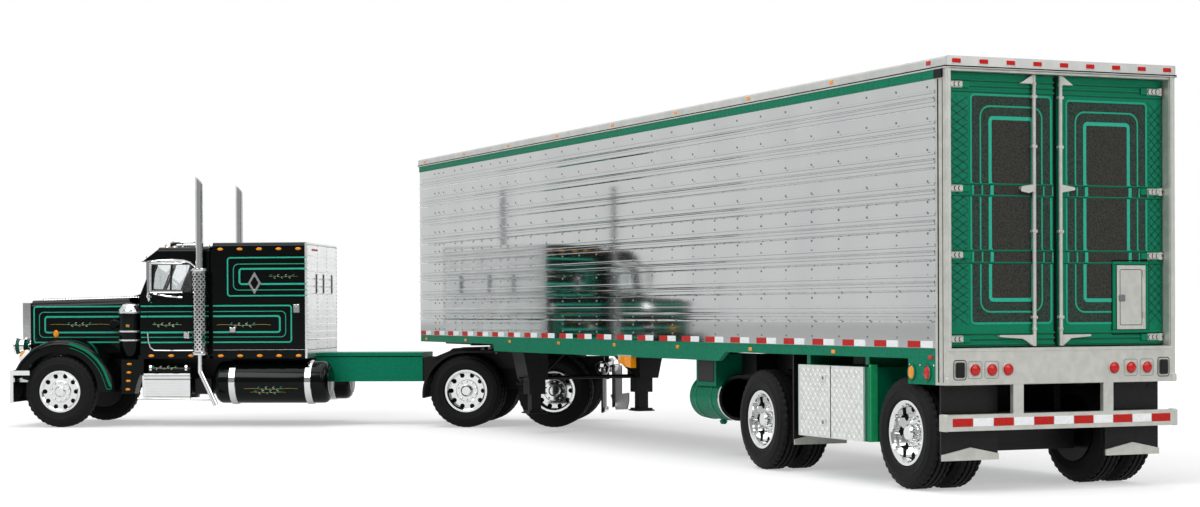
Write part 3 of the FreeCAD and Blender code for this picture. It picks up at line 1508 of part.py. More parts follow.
def build_stacks():
    """A tall pipe with a slanted tip, its heat shield with end rings and the elbow below."""
    radius = S.stack_radius
    pipe = rod("stack_pipe", "z", radius, S.shield_bottom, S.stack_top, stack_u, stack_v)
    slant = profile("stack_slant", "XZ_Plane", [
        (stack_u - radius * 2, S.stack_top - S.stack_cut),
        (stack_u + radius, S.stack_top),
        (stack_u + radius, S.stack_top + S.overrun),
        (stack_u - radius * 2, S.stack_top + S.overrun),
    ], stack_v - radius * 2, stack_v + radius * 2)
    bore = rod("stack_bore", "z", radius * 3 / 4, S.stack_top - S.stack_cut * 2,
               S.stack_top + S.overrun, stack_u, stack_v)
    shield = rod("stack_shield", "z", S.shield_radius, S.shield_bottom, S.shield_top,
                 stack_u, stack_v)
    elbow = bent_pipe("stack_elbow", S.elbow_radius, [
        (0, 0), (0, -S.elbow_straight), (-S.elbow_back, -S.elbow_straight - S.elbow_drop),
    ], stack_u, stack_v, S.shield_bottom + S.seat_gap)
    stack = minus("stack_cut_body", union("stack_solid", [pipe, shield, elbow]), [slant, bore])
    tractor_node("exhaust_stacks", pair("stack", stack))


def build_mirrors():
    """A tall mirror on an upper and a lower arm that run back to the door."""
    u = S.cab_front - S.mirror_setback
    v = S.cab_half_width + S.mirror_stand
    plate = block("mirror_plate", u - S.mirror_thickness / 2, u + S.mirror_thickness / 2,
                  v - S.mirror_width / 2, v + S.mirror_width / 2, S.mirror_bottom, S.mirror_top)
    arms = []
    for i, level in enumerate((S.mirror_bottom, S.mirror_top - S.mirror_arm_radius * 2)):
        arms.append(profile("mirror_arm_%d" % i, "XY_Plane", [
            (u - S.mirror_arm_back, S.cab_half_width),
            (u - S.mirror_arm_back + S.mirror_thickness, S.cab_half_width),
            (u + S.mirror_thickness / 2, v), (u - S.mirror_thickness / 2, v),
        ], level, level + S.mirror_arm_radius * 2))
    tractor_node("mirrors", pair("mirror", union("mirror_body", [plate] + arms)))


def on_windscreen(drop):
    """A point of the windscreen's slope, this far below the roof."""
    return (S.cab_roof_front + windscreen_slope * drop, S.cab_roof_top - drop)


def build_roof_trim():
    """The visor with a cheek at each end, and two horns on the roof."""
    wide = S.cab_half_width
    high = on_windscreen(S.visor_top_drop)
    low = on_windscreen(S.visor_root_drop)
    under = on_windscreen(S.visor_top_drop + S.visor_thickness * 3 / 2)
    tip = (S.cab_roof_front + S.visor_reach, S.cab_roof_top - S.visor_tip_drop)
    blade = profile("visor_blade", "XZ_Plane", [
        under, tip, high,
    ], -wide, wide)
    cheek = profile("visor_cheek", "XZ_Plane", [low, tip, high], wide - S.visor_thickness, wide)
    tractor_node("visor", [union("visor_body", [blade] + pair("visor_cheek", cheek))])
    horn = rod("roof_horn", "x", S.horn_radius, S.cab_roof_front - S.horn_length,
               S.cab_roof_front, S.horn_v, S.cab_roof_top + S.horn_radius)
    tractor_node("roof_horns", pair("roof_horn", horn))


def build_cab_inside():
    """Two high-backed seats, and the dash with the steering wheel on its column."""
    floor = S.cab_bottom + S.cab_wall
    rear = cab_rear + S.seat_setback
    back_front = rear + S.seat_back_thickness
    top = floor + S.seat_height
    base = block("seat_base", rear, rear + S.seat_length, S.seat_v - S.seat_width / 2,
                 S.seat_v + S.seat_width / 2, floor, top)
    back = profile("seat_back", "XZ_Plane", [
        (rear, top - S.seat_back_thickness), (back_front, top - S.seat_back_thickness),
        (back_front - S.seat_back_thickness / 2, top + S.seat_back),
        (rear - S.seat_back_thickness / 2, top + S.seat_back),
    ], S.seat_v - S.seat_width / 2, S.seat_v + S.seat_width / 2)
    seats = pair("seat", union("seat_body", [base, back]))
    front = S.cab_front - S.cab_wall
    dash = block("dash_body", front - S.dash_depth, front, S.cab_wall - S.cab_half_width,
                 S.cab_half_width - S.cab_wall, S.cab_belt - S.dash_height, S.cab_belt)
    ring = doc.addObject("Part::Torus", "steering_ring")
    bind(ring, "Radius1", S.wheel_ring_radius)
    bind(ring, "Radius2", S.wheel_ring_wire)
    ring.Placement.Rotation = FreeCAD.Rotation(FreeCAD.Vector(0, -1, 0), S.wheel_ring_tilt.value)
    bind(ring, "Placement.Rotation.Angle", S.wheel_ring_tilt)
    level = S.cab_belt - S.wheel_ring_drop
    ring_u = front - S.dash_depth - S.wheel_ring_radius / 2
    place(ring, ring_u, S.seat_v, level)
    column = rod("steering_column", "x", S.steering_column_radius, ring_u,
                 front - S.dash_depth, S.seat_v, level)
    spoke = rod("steering_spoke", "y", S.wheel_ring_wire, S.seat_v - S.wheel_ring_radius,
                S.seat_v + S.wheel_ring_radius, ring_u, level)
    tractor_node("cab_interior", seats + [union("dash_and_wheel", [dash, ring, column, spoke])])


def build_engine():
    front = S.steer_axle_reach
    engine = block("engine_body", front - S.engine_length, front, -S.engine_width / 2,
                   S.engine_width / 2, S.engine_bottom, S.engine_top)
    tractor_node("engine_block", [engine])


def sweep_radius(reach, fall):
    """The radius of an arc that is level at its crown and falls this far over its reach."""
    return (reach * reach + fall * fall) / (fall * 2)


def build_half_fenders():
    """A quarter arch over the front of the forward drive wheels, flat to its rear edge."""
    x = S.drive_axle_offset
    skin = S.half_fender_skin
    low = S.half_fender_low
    top = S.tyre_radius + S.half_fender_rise
    reach = S.half_fender_reach
    arch = profile("half_fender", "XZ_Plane", [
        (0, top - skin), (x, top - skin, -sweep_radius(reach - skin, top - skin - low)),
        (x + reach - skin, low), (x + reach, low, sweep_radius(reach, top - low)),
        (x, top), (0, top),
    ], S.half_fender_inner, S.half_fender_outer)
    arm = rod("half_fender_arm", "y", skin, S.frame_side, S.half_fender_inner + skin,
              x + reach - skin, S.frame_bottom + skin)
    tractor_node("half_fenders", pair("half_fender", union("half_fender_body", [arch, arm])))


def build_tail():
    """The bar behind the frame with its lamps and the mud flaps."""
    u = -S.tail_flap_u
    bar = block("tail_cross_bar", u - S.flap_thickness, u + S.flap_thickness,
                -S.half_fender_outer, S.half_fender_outer,
                S.tail_bar_height - S.flap_thickness, S.tail_bar_height + S.flap_thickness)
    flap = block("tail_flap", u - S.flap_thickness / 2, u + S.flap_thickness / 2,
                 S.half_fender_inner, S.half_fender_outer, S.tail_flap_bottom,
                 S.tail_bar_height - S.flap_thickness)
    tractor_node("tail_bar", [bar])
    tractor_node("tractor_mud_flaps", pair("tail_flap", flap))


def build_all():
    build_trailer_walls()
    build_trailer_roof()
    build_trailer_floor()
    build_bottom_rails()
    build_rear_frame()
    build_coupler()
    for side in SIDES:
        build_door(side)
    build_lock_rod("left", S.left_rod_offset, S.left_hook_width, S.left_foot_width)
    build_lock_rod("right", S.right_rod_offset, S.right_hook_width, S.right_foot_width)
    build_trailer_lamps()
    build_underride_bumper()
    build_trailer_flaps()
    build_tool_boxes()
    build_trailer_tank()
    build_landing_gear()
    build_trailer_subframe()
    build_axle("trailer_rear_axle", S.rear_axle_setback, S.trailer_track_outer, True, trailer_node)
    build_axle("trailer_front_axle", S.front_axle_setback, S.trailer_track_outer, True, trailer_node)
    build_fifth_wheel()
    build_frame()
    build_frame_covers()
    build_axle_carriers()
    build_axle("drive_front_axle", S.drive_axle_offset, S.drive_track_outer, True, tractor_node)
    build_axle("drive_rear_axle", -S.drive_axle_offset, S.drive_track_outer, True, tractor_node)
    build_axle("steer_axle", S.steer_axle_reach, S.steer_track_outer, False, tractor_node)
    build_tanks()
    build_step_boxes()
    build_sleeper()
    build_cab()
    build_cab_windows()
    build_hood()
    build_grille()
    build_front_bumper()
    build_fenders()
    build_headlamps()
    build_air_cleaners()
    build_stacks()
    build_mirrors()
    build_roof_trim()
    build_cab_inside()
    build_engine()
    build_half_fenders()
    build_tail()


def check_document():
    for item in doc.Objects:
        if "Invalid" in item.State or "Error" in item.State:
            raise RuntimeError("failed: " + item.Name)
    for item in nodes:
        if item.Shape.isNull() or not item.Shape.isValid() or not item.Shape.Solids:
            raise RuntimeError("bad shape: " + item.Label)


def write_parts():
    os.makedirs("parts", exist_ok=True)
    for item in nodes:
        item.Shape.exportStep(os.path.join("parts", item.Label + ".step"))


build_all()
doc.recompute()
check_document()
write_parts()
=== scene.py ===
"""Looks of a 1:64 model of an articulated highway truck with a box trailer."""
import math
from itertools import product
from math import cos, pi, radians, sin

import bmesh
import bpy
from mathutils import Matrix, Vector


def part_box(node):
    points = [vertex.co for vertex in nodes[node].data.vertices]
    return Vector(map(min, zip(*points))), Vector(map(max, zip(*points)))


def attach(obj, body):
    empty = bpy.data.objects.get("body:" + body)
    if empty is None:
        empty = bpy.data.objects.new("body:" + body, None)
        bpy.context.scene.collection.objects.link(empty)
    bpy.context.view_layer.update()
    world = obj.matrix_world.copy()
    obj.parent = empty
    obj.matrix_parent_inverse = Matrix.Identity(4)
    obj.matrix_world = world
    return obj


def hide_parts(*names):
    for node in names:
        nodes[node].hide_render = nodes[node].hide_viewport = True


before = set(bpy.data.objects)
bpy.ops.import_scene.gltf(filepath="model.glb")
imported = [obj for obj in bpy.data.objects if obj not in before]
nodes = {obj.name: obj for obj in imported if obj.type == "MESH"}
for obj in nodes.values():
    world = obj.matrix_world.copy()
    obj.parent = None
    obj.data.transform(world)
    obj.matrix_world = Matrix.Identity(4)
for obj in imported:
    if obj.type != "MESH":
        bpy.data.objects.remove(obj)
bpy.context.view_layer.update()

# Frames, in millimetres

MM = 0.001
tail_low, tail_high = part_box("rear_frame")
ORIGIN = (tail_low.x / MM, (tail_low.y + tail_high.y) / 2 / MM)
KINGPIN = 224
TURN = radians(61.495)
TYRE_RADIUS = 8.5
STEER_REACH = 107.6
# each axle's body, its place along its unit, its tyres' outer face, and whether they are twins
AXLES = (("trailer_rear_axle", 12.7, 20, True), ("trailer_front_axle", 60, 20, True),
         ("drive_front_axle", 10.3, 19.3, True), ("drive_rear_axle", -10.3, 19.3, True),
         ("steer_axle", STEER_REACH, 19.2, False))
ON_TRACTOR = ("tractor", "fifth_wheel", "steer_axle", "drive_front_axle", "drive_rear_axle")


def on_trailer(p):
    """A point of the trailer's frame: x forward from its tail, y to its left, z up."""
    return Vector(((p[0] + ORIGIN[0]) * MM, (p[1] + ORIGIN[1]) * MM, p[2] * MM))


def on_tractor(p):
    """A point of the tractor's frame: u forward from the kingpin, v to its left, z up."""
    x = KINGPIN + cos(TURN) * p[0] - sin(TURN) * p[1]
    y = sin(TURN) * p[0] + cos(TURN) * p[1]
    return on_trailer((x, y, p[2]))


# Materials

BUMP_DEPTH = 0.02 * MM


def srgb(text):
    """A linear colour from six hexadecimal digits."""
    parts = [int(text[i:i + 2], 16) / 255 for i in (0, 2, 4)]
    return [c / 12.92 if c < 0.04045 else ((c + 0.055) / 1.055) ** 2.4 for c in parts] + [1]


def feed(tree, node, values, **settings):
    """Gives a node, or a new one of a kind, plain values and other nodes' sockets as inputs."""
    if isinstance(node, str):
        node = tree.nodes.new("ShaderNode" + node)
    for name, value in settings.items():
        setattr(node, name, value)
    for name, value in values.items():
        if isinstance(value, bpy.types.NodeSocket):
            tree.links.new(value, node.inputs[name])
        else:
            node.inputs[name].default_value = value
    return node


def material(name, colour, metal=0, rough=0.4, coat=0, bump=0.03, grain=900, vary=0.12,
             rough_vary=0.06, stretch=(1, 1, 1), second=None, glow=0, clear=0, spec=0.5):
    """A Principled material with noise in its colour, its roughness and its height."""
    mat = bpy.data.materials.new(name)
    mat.use_nodes = True
    tree = mat.node_tree
    where = feed(tree, "TexCoord", {}).outputs["Object"]
    spread = feed(tree, "Mapping", {"Scale": stretch, "Vector": where}).outputs["Vector"]
    noise = feed(tree, "TexNoise", {"Scale": grain, "Detail": 4, "Vector": spread}).outputs["Fac"]
    ramp = feed(tree, "MapRange", {"From Min": 0.35, "From Max": 0.65, "Value": noise})
    gloss = feed(tree, "MapRange", {"To Min": max(rough - rough_vary, 0.01),
                                    "To Max": rough + rough_vary, "Value": noise})
    base = srgb(colour)
    other = srgb(second) if second else [c * (1 - vary) for c in base[:3]] + [1]
    mix = {0: ramp.outputs["Result"], 6: base, 7: other}
    tint = feed(tree, "Mix", mix, data_type="RGBA").outputs[2]
    height = feed(tree, "Bump", {"Strength": bump, "Distance": BUMP_DEPTH, "Height": noise})
    shader = feed(tree, tree.nodes["Principled BSDF"], {
        "Metallic": metal, "Coat Weight": coat, "Coat Roughness": 0.04,
        "Transmission Weight": clear, "Specular IOR Level": spec, "Base Color": tint,
        "Roughness": gloss.outputs["Result"], "Normal": height.outputs["Normal"]})
    if glow:
        feed(tree, shader, {"Emission Color": tint, "Emission Strength": glow})
    return mat


M = {
    "night": material("night_green_paint", "040a08", rough=0.12, coat=0.02, vary=0.4, grain=4000,
                      spec=0.14, rough_vary=0.02),
    "rivet": material("rivet_grey", "84888a", metal=0.9, rough=0.3, grain=3000),
    "green": material("emerald_paint", "047f5c", metal=0.35, rough=0.3, coat=0.05,
                      second="047a57", grain=2500, bump=0.05, spec=0.18),
    "rail": material("rail_green", "0a8060", metal=0.2, rough=0.45, second="087254", grain=2500,
                     bump=0.08, spec=0.1),
    # a green edge that glows: a painted highlight
    "leaf": material("green_edge_painted_highlight", "1fa566", metal=0.2, vary=0.15, spec=0.3, glow=0.12),
    "teal": material("teal_line_paint", "2bb193", grain=3000, spec=0.2),
    "teal_dark": material("deep_teal_line_paint", "1fa483", vary=0.15, grain=3000, spec=0.2),
    "gold": material("gold_scroll_paint", "a8933a", rough=0.35, vary=0.25, grain=3000, spec=0.2),
    "cream": material("pale_scroll_paint", "b9d8cc", rough=0.35, vary=0.15, grain=3000, spec=0.2),
    "chrome": material("polished_chrome", "dfe0e0", metal=1, rough=0.06, rough_vary=0.02,
                       vary=0.04, bump=0.1, grain=700),
    "mirror": material("mirror_sheet", "d6d9d8", metal=1, rough=0.055, rough_vary=0.015,
                       second="cfd2d2", grain=60, stretch=(1, 1, 0.5), bump=0.8),
    "sheet": material("bright_sheet", "f2f3f3", metal=0.85, rough=0.2, rough_vary=0.04,
                      second="e9eaea", grain=300, bump=0.3),
    "silver": material("satin_silver_paint", "cdcdc6", metal=0.6, rough=0.36, second="bfc0ba",
                       grain=600, bump=0.1),
    "cap": material("cap_silver", "d2d3cf", metal=0.5, rough=0.34, second="c6c8c5", grain=300,
                    bump=0.08),
    "tread": material("tread_plate", "e6e8e4", metal=0.35, rough=0.34, second="d8dbd7", bump=0.1),
    "rubber": material("tyre_rubber", "0a0a0b", rough=0.62, second="101111", grain=3000,
                       bump=0.35, spec=0.18),
    "plastic": material("black_plastic", "0b0b0b", rough=0.42, second="131313", grain=1500,
                        bump=0.15, spec=0.25),
    "satin": material("satin_black", "070707", rough=0.35, vary=0.25, grain=1500, spec=0.3),
    "gap": material("shadow_gap", "040404", rough=0.7, vary=0.2, spec=0.1),
    "tape_red": material("red_tape", "c3221c", rough=0.45, second="b21c17", grain=2500, bump=0.2,
                         spec=0.2),
    # white tape, bezels, mirror glass and plates, with a faint glow of painted light, as none of
    # them is a lamp
    "tape_white": material("white_tape_painted_glow", "f2f3f3", second="e6e9ec", grain=2500, bump=0.2,
                           spec=0.3, glow=0.06),
    "lamp_red": material("red_lens", "c8130f", rough=0.14, coat=0.2, vary=0.2, grain=2500,
                         glow=0.03, spec=0.3),
    "lamp_amber": material("amber_lens", "f09412", rough=0.12, coat=0.3, vary=0.15, grain=2500,
                           glow=0.1, spec=0.3),
    "speckle": material("speckled_dark_green", "14211c", rough=0.6, second="34473d", grain=4600,
                        bump=0.5, spec=0.2),
    "umber": material("speckled_dark_grey", "1a1b18", rough=0.6, second="3c3b35", grain=4600,
                      bump=0.5, spec=0.2),
    "quilt": material("quilted_green", "068061", metal=0.3, rough=0.34, coat=0.05,
                      second="057053", grain=1800, bump=0.1, spec=0.18),
    # deep green for quilt lines and the headlamp bowl, and for painted shadow lines under the door
    # ribs
    "stitch": material("deep_green_lines", "04503b", vary=0.15, spec=0.2),
    "inside": material("cab_lining", "0f1011", rough=0.6, second="17191a", grain=2500, bump=0.3,
                       spec=0.2),
    "glass": material("window_glass", "f6f9f9", rough=0.01, rough_vary=0.005, vary=0.02, clear=1),
}

NODE_LOOKS = {
    "mirror": "trailer_side_left trailer_side_right trailer_front_wall",
    "sheet": "sleeper_rear_panel",
    "tread": "tool_box_doors",
    "cap": "trailer_roof",
    "silver": "rear_frame underride_bumper lock_rod_left lock_rod_right trailer_flap_weights",
    "green": "rear_door_left rear_door_right tool_boxes",
    "rail": "bottom_rails trailer_tank frame_covers",
    "chrome": "fuel_tank_straps step_boxes grille front_bumper headlamps exhaust_stacks mirrors "
              "roof_horns tail_bar " + " ".join(axle[0] + "_wheels" for axle in AXLES),
    "night": "sleeper_shell cab_shell hood front_fenders fuel_tanks step_air_tanks air_cleaners "
             "visor",
    "plastic": "trailer_floor upper_coupler trailer_mud_flaps landing_gear trailer_subframe "
               "fifth_wheel drive_axle_tubes steer_axle_beam frame_rails engine_block "
               "half_fenders tractor_mud_flaps",
    "rubber": " ".join(axle[0] + "_tyres" for axle in AXLES),
    "lamp_red": "trailer_lamps",
    "inside": "cab_interior",
    "glass": "cab_windows",
}
for look, names in NODE_LOOKS.items():
    for name in names.split():
        nodes[name].data.materials.clear()
        nodes[name].data.materials.append(M[look])

# Mesh building


def linked(name, data):
    """A new object in the scene."""
    item = bpy.data.objects.new(name, data)
    bpy.context.scene.collection.objects.link(item)
    return item


def around(count, wide, tall=None, start=0):
    """Points evenly round a circle or an oval about (0, 0)."""
    turns = [start + 2 * pi * i / count for i in range(count)]
    return [(wide * cos(t), (wide if tall is None else tall) * sin(t)) for t in turns]


class Piece:
    """One mesh object that rides on a body, built in that body's own millimetre frame."""

    def __init__(self, name, body):
        self.name, self.body = name, body
        self.place = on_tractor if body in ON_TRACTOR else on_trailer
        self.points, self.faces, self.looks = [], [], []

    def add(self, points, faces, look):
        base = len(self.points)
        self.points += [Vector(p) for p in points]
        self.faces += [[base + i for i in face] for face in faces]
        self.looks += [look] * len(faces)

    def skin(self, rings, look, caps=(0, -1), closed=False, wrap=True):
        """Faces between rings of points, with the rings named in caps filled."""
        count, steps = len(rings), len(rings[0])
        faces = []
        for a in range(count if closed else count - 1):
            b = (a + 1) % count
            for i in range(steps if wrap else steps - 1):
                j = (i + 1) % steps
                faces.append([a * steps + i, a * steps + j, b * steps + j, b * steps + i])
        faces += [[k % count * steps + i for i in range(steps)] for k in caps]
        self.add([p for ring in rings for p in ring], faces, look)

    def done(self, smooth=35):
        """Writes the mesh, links the object and lets it ride on its body."""
        mesh = bpy.data.meshes.new(self.name)
        mesh.from_pydata([self.place(p) for p in self.points], [], self.faces)
        order = sorted(set(self.looks))
        for look in order:
            mesh.materials.append(M[look])
        for polygon, look in zip(mesh.polygons, self.looks):
            polygon.material_index = order.index(look)
        work = bmesh.new()
        work.from_mesh(mesh)
        bmesh.ops.recalc_face_normals(work, faces=work.faces)
        work.to_mesh(mesh)
        work.free()
        mesh.shade_smooth()
        mesh.set_sharp_from_angle(angle=radians(smooth))
        item = linked(self.name, mesh)
        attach(item, self.body)
        return item

    def box(self, low, high, look, edge=0.04, sign=0):
        """A block with bevelled edges; a sign puts it on that side of the unit's middle."""
        if sign:
            y0, y1 = sorted((sign * low[1], sign * high[1]))
            low, high = (low[0], y0, low[2]), (high[0], y1, high[2])
        cut = min([edge] + [abs(b - a) * 0.45 for a, b in zip(low, high)])
        points = []
        for corner in range(8):
            for axis in range(3):
                insets = [cut if i != axis else 0 for i in range(3)]
                points.append([high[i] - insets[i] if corner >> i & 1 else low[i] + insets[i]
                               for i in range(3)])
        faces = []
        for axis in range(3):
            b, c = [i for i in range(3) if i != axis]
            for s in (0, 1):
                faces.append([(s << axis | p << b | q << c) * 3 + axis
                              for p, q in ((0, 0), (1, 0), (1, 1), (0, 1))])
            for p, q in product((0, 1), (0, 1)):
                first = p << b | q << c
                last = first | 1 << axis
                faces.append([first * 3 + b, first * 3 + c, last * 3 + c, last * 3 + b])
        faces += [[corner * 3, corner * 3 + 1, corner * 3 + 2] for corner in range(8)]
        self.add(points, faces, look)

    def lathe(self, centre, axis, profile, look, steps=24):
        """A turned form: profile gives radius and height along the axis."""
        axis = Vector(axis).normalized()
        across = axis.orthogonal().normalized()
        up = axis.cross(across)
        self.skin([[Vector(centre) + axis * height + across * a + up * b
                    for a, b in around(steps, radius)] for radius, height in profile], look)

    def domes(self, centres, axis, radius, height, look, steps=8):
        """Small rounded heads, such as rivets and bolts."""
        for centre in centres:
            self.lathe(centre, axis, [(radius, 0), (radius * 0.85, height * 0.6),
                                      (radius * 0.4, height)], look, steps)

    def tube(self, path, radius, look, steps=8, closed=False):
        """A round wire along points; radius is one number or one for each point."""
        path = [Vector(p) for p in path]
        count = len(path)
        radii = radius if isinstance(radius, list) else [radius] * count
        rings = []
        side = None
        for i, p in enumerate(path):
            ahead = path[(i + 1) % count] if closed or i < count - 1 else p
            behind = path[i - 1] if closed or i else p
            way = (ahead - behind).normalized()
            side = way.orthogonal().normalized() if side is None else (
                side - way * side.dot(way)).normalized()
            up = way.cross(side)
            rings.append([p + side * a + up * b for a, b in around(steps, radii[i])])
        self.skin(rings, look, () if closed else (0, -1), closed)

    def ribbon(self, path, width, surface, look, closed=False):
        """A flat line on a surface, along points of the surface's own two coordinates."""
        count = len(path)
        left, right = [], []
        for i, p in enumerate(path):
            here = Vector(p)
            ahead = Vector(path[(i + 1) % count]) if closed or i < count - 1 else None
            behind = Vector(path[i - 1]) if closed or i else None
            ways = [(b - a).normalized() for a, b in ((behind, here), (here, ahead))
                    if a is not None and b is not None and (b - a).length > 1e-9]
            way = sum(ways, Vector((0, 0))).normalized()
            off = Vector((-way.y, way.x)) * (width / 2)
            if len(ways) == 2:
                off /= max(0.5, way.dot(ways[0]))
            left.append(surface(*(here + off)))
            right.append(surface(*(here - off)))
        self.skin([left, right], look, (), wrap=closed)

    def patch(self, outline, surface, look):
        """A flat area on a surface."""
        self.add([surface(*p) for p in outline], [list(range(len(outline)))], look)


def build(body, sides=(), name=None):
    """Turns a function into the piece of its name, shaped once for each side that is given."""
    def run(shape):
        piece = Piece(name or shape.__name__, body)
        for arguments in [(piece, sign) for sign in sides] or [(piece,)]:
            shape(*arguments)
        return piece.done()
    return run


def rounded(x0, x1, y0, y1, radius, skip="", steps=5):
    """A rectangle's path with round corners; a skipped side (l, r) leaves it open there."""
    corners = [(x1 - radius, y0 + radius, -90), (x1 - radius, y1 - radius, 0),
               (x0 + radius, y1 - radius, 90), (x0 + radius, y0 + radius, 180)]
    first, kept, last = {"r": ([(x1, y1)], corners[2:], [(x1, y0)]),
                         "l": ([(x0, y0)], corners[:2], [(x0, y1)]), "": ([], corners, [])}[skip]
    for x, y, start in kept:
        turns = [radians(start + 90 * k / steps) for k in range(steps + 1)]
        first += [(x + radius * cos(t), y + radius * sin(t)) for t in turns]
    return first + last


def split(path, longest):
    """The same path with its long runs divided, so that a line follows a bent surface."""
    out = []
    for a, b in zip(path, path[1:]):
        parts = max(1, int(math.dist(a, b) / longest))
        out += [(a[0] + (b[0] - a[0]) * k / parts, a[1] + (b[1] - a[1]) * k / parts)
                for k in range(parts)]
    return out + [path[-1]]


def smooth_path(points, parts=6):
    """A rounder path through the same points."""
    ring = [points[0]] + list(points) + [points[-1]]
    out = []
    for a, b, c, d in zip(ring, ring[1:], ring[2:], ring[3:]):
        for t in (k / parts for k in range(parts)):
            out.append(tuple(0.5 * (2 * b[i] + (c[i] - a[i]) * t
                                    + (2 * a[i] - 5 * b[i] + 4 * c[i] - d[i]) * t * t
                                    + (3 * b[i] - a[i] - 3 * c[i] + d[i]) * t ** 3)
                             for i in range(len(b))))
    return out + [tuple(points[-1])]


def span(first, last, count):
    return [first + (last - first) * i / (count - 1) for i in range(count)]


def across(x):
    """The upright plane across a unit at x."""
    return lambda y, z: (x, y, z)


def along(y):
    """The upright plane along a unit at y."""
    return lambda x, z: (x, y, z)


def lozenges(piece, start, counts, pitch, reach, waist, depth, look):
    """Raised lozenges of tread plate on a side face, leaning to the left and right in turn."""
    for i, k in product(*map(range, counts)):
        x, z = start[0] + pitch * i, start[1] + pitch * k
        lean = 1 if (i + k) % 2 else -1
        tips = ((-reach, -reach * lean), (waist, -waist * lean), (reach, reach * lean),
                (-waist, waist * lean))
        piece.add([(x + a, depth[0], z + b) for a, b in tips] + [(x, depth[1], z)],
                  [[0, 1, 4], [1, 2, 4], [2, 3, 4], [3, 0, 4]], look)


def oval_lamp(piece, centre, sign, half, look, levels, steps, rim):
    """An oval lens on a side face with its thin rim: growth, depth, radius, look and steps."""
    x, y, z = centre
    wide, tall = half
    piece.skin([[(x + a, y + sign * rise, z + b) for a, b in around(steps, wide * k, tall * k)]
                for k, rise in levels], look, (-1,))
    grow, depth, radius, rim_look, sides = rim
    piece.tube([(x + a, y + sign * depth, z + b)
                for a, b in around(steps, wide + grow, tall + grow)],
               radius, rim_look, sides, True)


BOTH = (1, -1)
SIDES = (("left", 1), ("right", -1))
LIFT = 0.03
UP, AHEAD, BACK = (0, 0, 1), (1, 0, 0), (-1, 0, 0)

# Trailer sides

HALF = 20.3
wall_low, wall_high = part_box("trailer_side_left")
RIB_LEVELS = [(wall_low.z + (wall_high.z - wall_low.z) * (0.112 + 0.11 * i)) / MM + step
              for i in range(8) for step in (-0.65, 0.65)]
RIVET_COLUMNS = [5.14 + 8.874 * i for i in range(20)] + [
    178.6, 183.1, 189, 195, 200.75, 208.4, 213, 221, 224.3, 227.25]
RIVET_ROWS = [z for z in (22.9 + 1.54 * i for i in range(25))
              if min(abs(z - rib) for rib in RIB_LEVELS) > 0.35]
TAPES, TAPE_FRONT, TAPE_PITCH = 24, 237.9, 9.87
STRIP_RIVETS, RAIL_RIVETS, RIVETED_LENGTH = 150, 300, 233
MARKERS = [233.8, 206, 177.6, 149.3, 120.5, 91.6, 62.4, 33.5, 4.4]
# half length, inner and outer face, lower and upper level, and bevel of a marker's two boxes
MARKER_BOXES = {
    "lamp_amber": ((0.55, 0.2, 0.36, 62.95, 63.55, 0.08), (0.6, 0, 0.16, 20.15, 20.75, 0.08)),
    "lamp_red": ((0.6, 0.2, 0.36, 62.95, 63.6, 0.1), (0.55, 0, 0.16, 19.75, 20.35, 0.08))}


def trailer_side(piece, sign):
    """Rivets, ribs, the embossed top strip, the tape row and the marker lamps of one side."""
    y, out = HALF * sign, (0, sign, 0)

    def slab(x0, x1, inner, outer, z0, z1, look, edge):
        piece.box((x0, y + inner, z0), (x1, y + outer, z1), look, edge)
    piece.domes(product(RIVET_COLUMNS, (y,), RIVET_ROWS), out, 0.2, 0.14, "rivet")
    for z in RIB_LEVELS:
        piece.skin([[(x, y + sign * a, z + b) for a, b in ((-0.02, -0.2), (0.2, 0), (-0.02, 0.2))]
                    for x in (3.3, 238.6)], "mirror", wrap=False)
    for front in (TAPE_FRONT - TAPE_PITCH * i for i in range(TAPES)):
        # the white tape's glow is painted light
        for far, near, look in ((3.6, 0, "tape_red"), (7.1, 3.7, "tape_white")):
            slab(front - far, front - near, -0.02, sign * 0.06, 21.45, 22.45, look, 0.02)
    slab(3.2, 238.4, sign * -0.05, sign * 0.2, 60.9, 62.25, "rail", 0.05)
    slab(0.9, 3.1, sign * -0.05, sign * 0.22, 60.9, 62.25, "night", 0.05)
    for x, width in ((2.1, 0.3), (0.95, 0.12)):
        slab(x, x + width, -0.02, sign * 0.03, 16.4, 60.8, "gap", 0.01)
    slab(-0.2, 239.2, 0, sign * 0.27, 62.42, 62.6, "gap", 0.02)
    slab(-0.2, 239.2, 0, sign * 0.3, 62.2, 62.4, "cap", 0.04)
    for x in MARKERS:
        look = "lamp_red" if x == MARKERS[-1] else "lamp_amber"
        for half, inner, outer, z0, z1, edge in MARKER_BOXES[look]:
            slab(x - half, x + half, sign * inner, sign * outer, z0, z1, look, edge)
    strip = [5 + RIVETED_LENGTH * i / STRIP_RIVETS for i in range(STRIP_RIVETS)]
    piece.domes(product(strip, (y + sign * 0.19,), (61.25, 61.9)), out, 0.2, 0.07, "rail", 6)
    piece.domes([(4 + RIVETED_LENGTH * i / RAIL_RIVETS, y, 21.1) for i in range(RAIL_RIVETS)],
                out, 0.09, 0.05, "rail", 5)


for side, sign in SIDES:
    build("trailer", (sign,), "trailer_side_trim_" + side)(trailer_side)

# Trailer tail

DOOR = 1.9
RIB_ZONES = ((34, 35.8), (43.9, 45.6))
EDGE_RIBS = (59.3, 60.1, 60.9, 22, 22.8, 23.6)
door_low, door_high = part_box("rear_door_left")
HINGE_LEVELS = [(door_low.z + (door_high.z - door_low.z) * share) / MM
                for share in (0.028, 0.335, 0.578, 0.957)]
ROD_Y = {1: 4.2, -1: -0.5}
TAIL_LAMPS = {1: (9.85, 12.65, 15.55), -1: (-9, -12.05, -15)}
TAIL_LAMP_Z = 18.2


